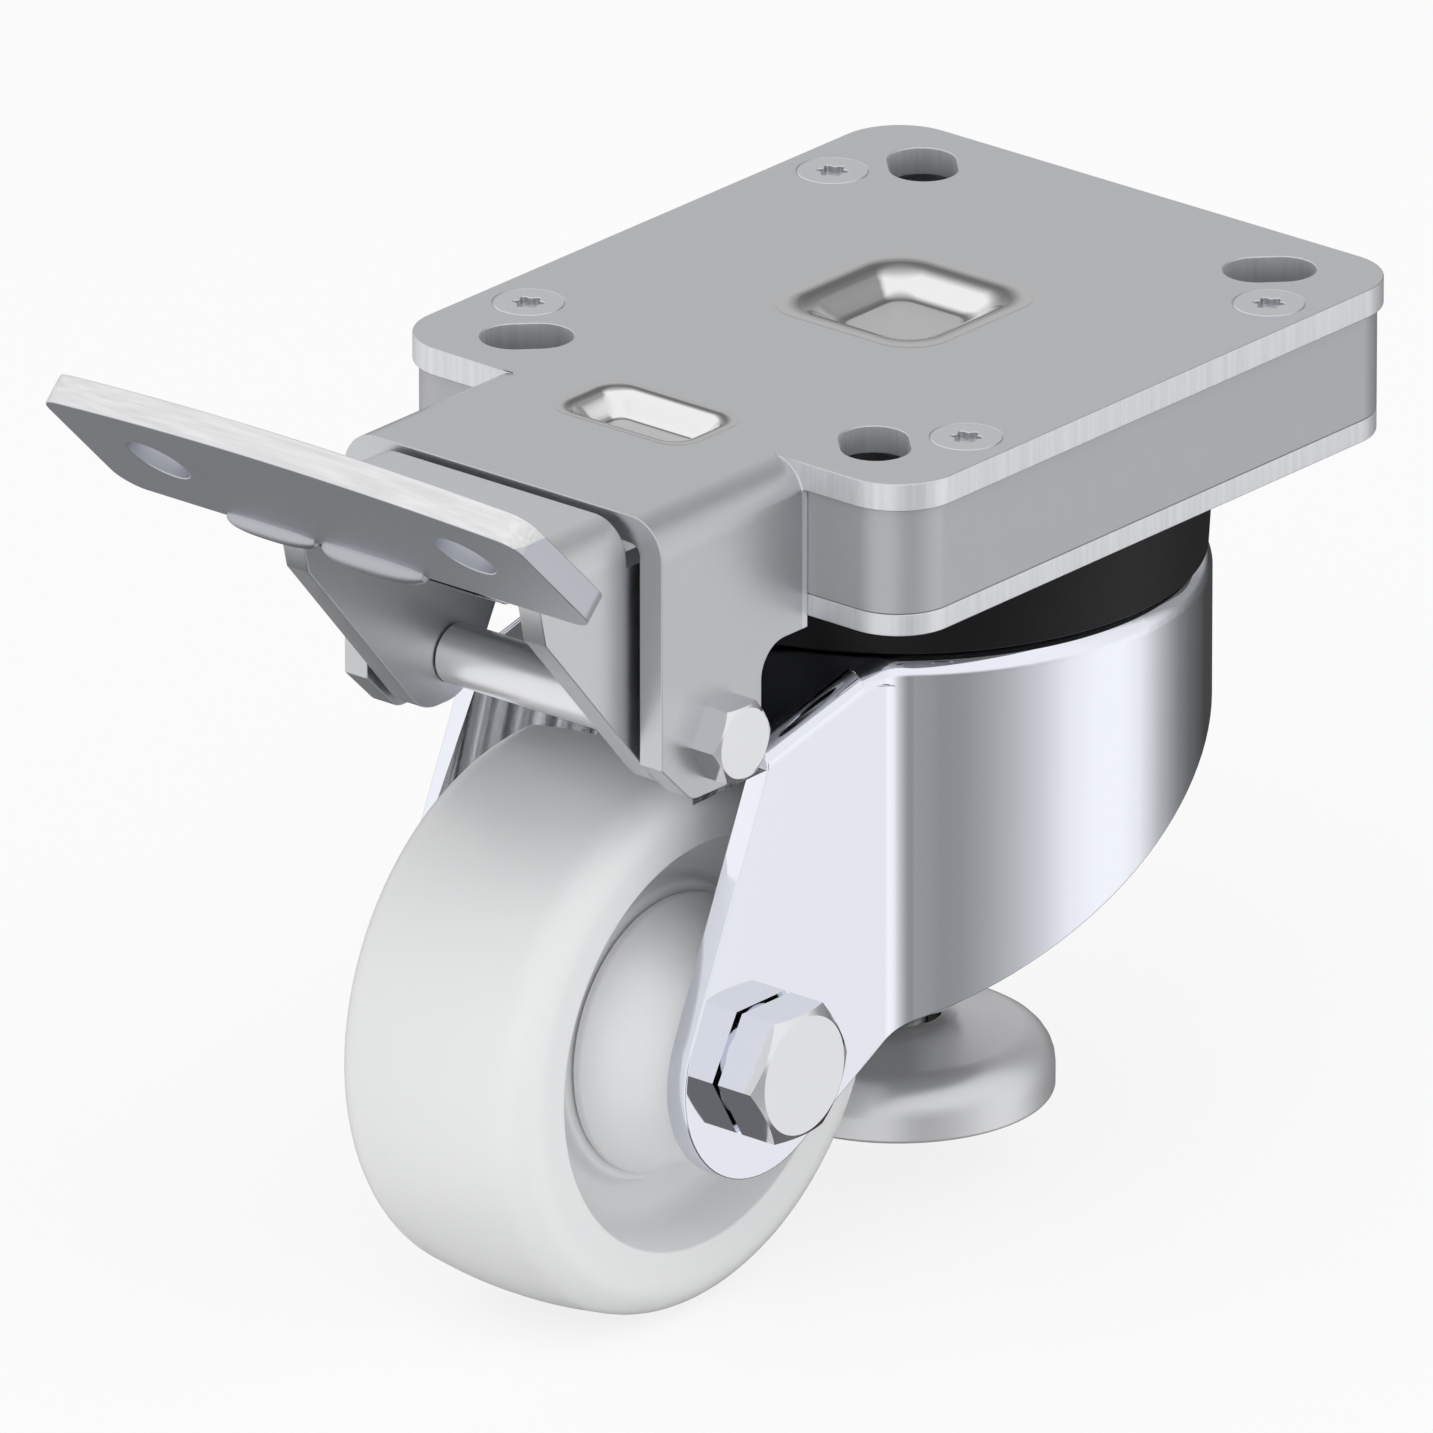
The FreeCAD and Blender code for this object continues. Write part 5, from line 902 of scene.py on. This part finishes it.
def old_beads(middles, normals):
    """True for the faces of the two short weld beads."""
    away = np.hypot(middles[:, 0] - BEAD_LINE[0], middles[:, 2] - BEAD_LINE[1])
    side = abs(middles[:, 1])
    return (away < BEAD_RADIUS) & (side > BEADS_FROM) & (side < BEADS_TO)


sheet_part("pedal_sheet", "pedal_plate", change=pedal_points, corner=pedal_upper_corners,
           radius=UPPER_CORNER, material=pedal_sheet)
sheet_part("lever_bent", "lever_channel", change=lever_points, drop=old_beads, material=lever_zinc)

# %% [markdown]
# The weld between the lever and the pedal's plate shows as two shallow lobes. A lobe is a tube along Y
# whose radius falls to nothing at both ends, like a flattened circle: the power of the way along and the
# power of the radius add up to one.

# %% Weld
LOBES = (("near", -15.0, 8.0, 2.7), ("far", 9.0, 29.0, 2.2))
LOBE_LINE = (-140.7, -3.1)
LOBE_POWER = 2.6
LOBE_TIP = 0.02
LOBE_ROUND = 40
LOBE_STEPS = 49

lobe_angle = np.linspace(0, 2 * math.pi, LOBE_ROUND, endpoint=False)[:, None]
along = np.linspace(-1, 1, LOBE_STEPS)[None, :]
for lobe, first, last, size in LOBES:
    section = size * (1 - abs(along) ** LOBE_POWER) ** (1 / LOBE_POWER) + LOBE_TIP
    middle = (first + last) / 2 + (last - first) / 2 * along
    points = np.stack(np.broadcast_arrays(
        LOBE_LINE[0] + section * np.cos(lobe_angle), middle,
        LOBE_LINE[1] + section * np.sin(lobe_angle)), axis=-1)
    add_piece("weld_" + lobe, points, grid_faces(LOBE_ROUND, LOBE_STEPS, close_rows=True), "lever_channel",
              material=weld, hide=False)

# %% [markdown]
# Bolts, nuts and the spindle share two shapes. A hexagon is a radius that depends on the angle alone. A
# thread is a triangle wave of the height, and each point round the axis is a little further along the wave
# than the one before, so that the ridges climb.

# %% Hexagon and thread
THREAD_PITCH = 2.0
TURN_STEPS = 8


def hexagon(angle, flats):
    """Radius of a hexagon with a corner at angle 0: half its flats over the cosine of the angle to a flat."""
    return flats / 2 / np.cos(np.mod(angle, math.pi / 3) - math.pi / 6)


def threaded(angle, start, end, radius, pitch, depth):
    """Radius and height of a screw thread: a triangle wave of the height less a turn's share of the angle."""
    height = np.linspace(start, end, int(abs(end - start) / pitch * TURN_STEPS) + 1)
    phase = np.mod(height[None, :] / pitch - angle[:, None] / (2 * math.pi), 1)
    wave = abs(phase - 0.5) * 2
    return radius - depth * wave, np.broadcast_to(height, wave.shape)


print("corners of a 22 mm hexagon at", hexagon(0.0, 22).round(2), "mm")

# %% [markdown]
# A hexagon head is a circle where its chamfer cuts it and a hexagon below. Both are one formula: at each
# angle the radius is that of the hexagon, and the chamfer falls by tan 30 with every millimetre that the
# radius exceeds the round flat. Under the head is the washer face, a low round step that leaves a dark
# line.

# %% Bolts
CHAMFER = math.tan(math.radians(30))
ROUND_FLAT = 0.475
WASHER_FACE = 0.6
BOLT_THREAD = 0.9
PLAIN_SHARE = 0.72
POINT_LONG = 1.5
POINT_FALL = 1.2
AXLE_FLATS = 22
AXLE_HEAD = 9.0
AXLE_SHANK = 7.0
PIVOT_FLATS = 13
PIVOT_HEAD = 6.0
PIVOT_SHANK = 4.0


def bolt(name, node, centre, seat, side, flats, head, shank, reach, count=ROUND):
    """A hexagon bolt along Y: head on one side of its seat, then a plain shank and a threaded end."""
    angle = np.linspace(0, 2 * math.pi, count, endpoint=False)
    round_flat = flats * ROUND_FLAT
    plain = -reach * PLAIN_SHARE
    six = hexagon(angle, flats)
    even = np.ones(count)
    rings = [(0 * even, head * even), (round_flat * even, head * even),
             (six, head - (six - round_flat) * CHAMFER), (six, WASHER_FACE * even),
             (round_flat * even, WASHER_FACE * even), (round_flat * even, 0 * even),
             (shank * even, 0 * even)]
    radii = np.stack([ring[0] for ring in rings], axis=1)
    heights = np.stack([ring[1] for ring in rings], axis=1)
    wide, high = threaded(angle, plain, -reach + POINT_LONG, shank, THREAD_PITCH, BOLT_THREAD)
    last = np.stack([(shank - POINT_FALL) * even, 0 * even], axis=1)
    radii = np.concatenate([radii, shank * even[:, None], wide, last], axis=1)
    heights = np.concatenate([heights, plain * even[:, None], high,
                              np.stack([-reach * even, -reach * even], axis=1)], axis=1)
    points = np.stack([centre[0] + radii * np.cos(angle)[:, None], seat + side * heights,
                       centre[2] + radii * np.sin(angle)[:, None]], axis=-1)
    return add_piece(name, points, grid_faces(count, radii.shape[1], close_rows=True), node)


axle_low, axle_high = box_corners("axle_bolt")
bolt("axle_screw", "axle_bolt", axle, axle_low[1] + AXLE_HEAD, -1, AXLE_FLATS, AXLE_HEAD, AXLE_SHANK,
     axle_high[1] - axle_low[1] - AXLE_HEAD)
pivot_low, pivot_high = box_corners("pivot_bolt")
pivot = (pivot_low + pivot_high) / 2
bolt("pivot_screw", "pivot_bolt", pivot, pivot_low[1] + PIVOT_HEAD, -1, PIVOT_FLATS, PIVOT_HEAD, PIVOT_SHANK,
     pivot_high[1] - pivot_low[1] - PIVOT_HEAD)

# %% [markdown]
# A nut is the same hexagon with a chamfer at each end and a round bore, which clears its bolt by a hair.

# %% Nuts
SPINDLE_RADIUS = 8.0
BORE_PLAY = 0.02


def hex_nut(name, node, centre, low, high, flats, bore, along="Y", count=ROUND):
    """A hexagon nut along an axis: the bore, two chamfered ends and the flats in one closed ring."""
    angle = np.linspace(0, 2 * math.pi, count, endpoint=False)
    six = hexagon(angle, flats)
    round_flat = flats * ROUND_FLAT * np.ones(count)
    fall = (six - round_flat) * CHAMFER
    bore, low, high = (value + 0 * six for value in (bore, low, high))
    radii = np.stack([bore, bore, round_flat, six, six, round_flat], axis=1)
    heights = np.stack([high, low, low, low + fall, high - fall, high], axis=1)
    first = radii * np.cos(angle)[:, None]
    second = radii * np.sin(angle)[:, None]
    points = (first, second, heights) if along == "Z" else (first, heights, second)
    place = np.array([centre[0], centre[1] if along == "Z" else 0, centre[2] if along == "Y" else 0])
    return add_piece(name, np.stack(points, axis=-1) + place,
                     grid_faces(count, 6, close_rows=True, close_columns=True), node)


nut_low, nut_high = box_corners("axle_nut")
hex_nut("axle_hex_nut", "axle_nut", axle, nut_low[1], nut_high[1], AXLE_FLATS, AXLE_SHANK + BORE_PLAY)
nut_low, nut_high = box_corners("pivot_nut")
hex_nut("pivot_hex_nut", "pivot_nut", pivot, nut_low[1], nut_high[1], PIVOT_FLATS, PIVOT_SHANK + BORE_PLAY)
nut_low, nut_high = box_corners("adjusting_nut")
hex_nut("adjusting_hex_nut", "adjusting_nut", (0, 0, 0), nut_low[2], nut_high[2], AXLE_FLATS,
        SPINDLE_RADIUS + BORE_PLAY, along="Z")

# %% [markdown]
# The spindle ends below in a ball, on which the foot tilts. From the ball its line goes in to a neck, out
# to the thread, which has the formula of the bolts' threads turned upright, and in again at the top.

# %% Spindle
SPINDLE_NECK = 3.8
SPINDLE_BALL = 5.5
SPINDLE_END = -127.6
SPINDLE_TOP = -76.0
SPINDLE_THREAD = 0.95
BALL_MIDDLE = -134.0
BALL_STEPS = 24

angle = np.linspace(0, 2 * math.pi, ROUND, endpoint=False)
wide, high = threaded(angle, SPINDLE_END + POINT_FALL, SPINDLE_TOP - POINT_FALL, SPINDLE_RADIUS, THREAD_PITCH,
                      SPINDLE_THREAD)
polar = np.linspace(-math.pi / 2, math.acos(SPINDLE_NECK / SPINDLE_BALL), BALL_STEPS)
before = np.concatenate([
    np.stack([SPINDLE_BALL * np.cos(polar), BALL_MIDDLE + SPINDLE_BALL * np.sin(polar)], axis=-1),
    [(SPINDLE_NECK, SPINDLE_END), (SPINDLE_RADIUS - POINT_FALL, SPINDLE_END)]])
after = np.array([(SPINDLE_RADIUS - POINT_FALL, SPINDLE_TOP), (0, SPINDLE_TOP)])
even = np.ones((ROUND, 1))
radii = np.concatenate([before[:, 0] * even, wide, after[:, 0] * even], axis=1)
heights = np.concatenate([before[:, 1] * even, high, after[:, 1] * even], axis=1)
points = np.stack([radii * np.cos(angle)[:, None], radii * np.sin(angle)[:, None], heights], axis=-1)
add_piece("spindle_thread", points, grid_faces(ROUND, radii.shape[1], close_rows=True), "spindle")

# %% [markdown]
# The housing screws have a six-lobed socket. Seen from above it is a circle whose radius rises and falls
# six times: a mean radius plus a cosine of six times the angle. The rest of the screw is turned.

# %% Screws
SOCKET_RADIUS = 2.35
SOCKET_WAVE = 0.4
SOCKET_DEPTH = 1.3
SOCKET_BREAK = 0.15
HEAD_RADIUS = 6.3
HEAD_DEPTH = 3.3
HEAD_BREAK = 0.3
RIM_IN = 0.06
RIM_DOWN = 0.25
SHANK_RADIUS = 3.0
TIP_UP = 0.8
TIP_IN = 0.7

screws_low, screws_high = box_corners("housing_screws")
screw_x = screws_high[0] - HEAD_RADIUS
screw_y = screws_high[1] - HEAD_RADIUS
angle = np.linspace(0, 2 * math.pi, ROUND, endpoint=False)
lobes = SOCKET_RADIUS + SOCKET_WAVE * np.cos(6 * angle)
even = np.ones(ROUND)
top = screws_high[2]
end = screws_low[2]
rings = [
    (0 * even, top - SOCKET_DEPTH), (lobes - SOCKET_BREAK, top - SOCKET_DEPTH), (lobes, top - SOCKET_BREAK),
    (lobes + SOCKET_BREAK, top), ((HEAD_RADIUS - HEAD_BREAK) * even, top),
    ((HEAD_RADIUS - RIM_IN) * even, top - RIM_DOWN),
    (SHANK_RADIUS * even, top - HEAD_DEPTH), (SHANK_RADIUS * even, end + TIP_UP),
    ((SHANK_RADIUS - TIP_IN) * even, end), (0 * even, end),
]
screw_points = []
screw_faces = []
for sign_x, sign_y in ((1, 1), (1, -1), (-1, 1), (-1, -1)):
    points = np.stack([
        np.stack([sign_x * screw_x + radius * np.cos(angle), sign_y * screw_y + radius * np.sin(angle),
                  height * even], axis=-1) for radius, height in rings], axis=1)
    earlier = len(screw_points) * points.size // 3
    screw_faces.append(grid_faces(ROUND, len(rings), close_rows=True, first=earlier))
    screw_points.append(points.reshape(-1, 3))
add_piece("housing_screw_set", np.concatenate(screw_points), np.concatenate(screw_faces), "housing_screws")

# %% [markdown]
# The return spring is wire wound into a coil: the wire's centre goes round and up, and a small circle is
# carried along it. The pedal squeezes the spring; the coil gets a mesh of its own.

# %% Return spring
SPRING_TURNS = 4
COIL_RADIUS = 17.5
COIL_STEPS = 48
WIRE_RADIUS = 1.3
WIRE_TIP = 0.02
WIRE_ROUND = 16

spring_low, spring_high = box_corners("return_spring")
share = np.linspace(0, 1, COIL_STEPS * SPRING_TURNS + 1)[:, None]
wire = np.where((share == 0) | (share == 1), WIRE_TIP, WIRE_RADIUS)
round_wire = np.linspace(0, 2 * math.pi, WIRE_ROUND, endpoint=False)[None, :]
turn_angle = 2 * math.pi * SPRING_TURNS * share
out = COIL_RADIUS + wire * np.cos(round_wire)
rise = (spring_high[2] - spring_low[2] - 2 * WIRE_RADIUS) * share
spring_points = np.stack([out * np.cos(turn_angle), out * np.sin(turn_angle),
                          spring_low[2] + WIRE_RADIUS + rise + wire * np.sin(round_wire)], axis=-1)
coil = add_piece("spring_coil", spring_points,
                 grid_faces(len(share), WIRE_ROUND, close_columns=True), "return_spring")
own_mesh(coil)
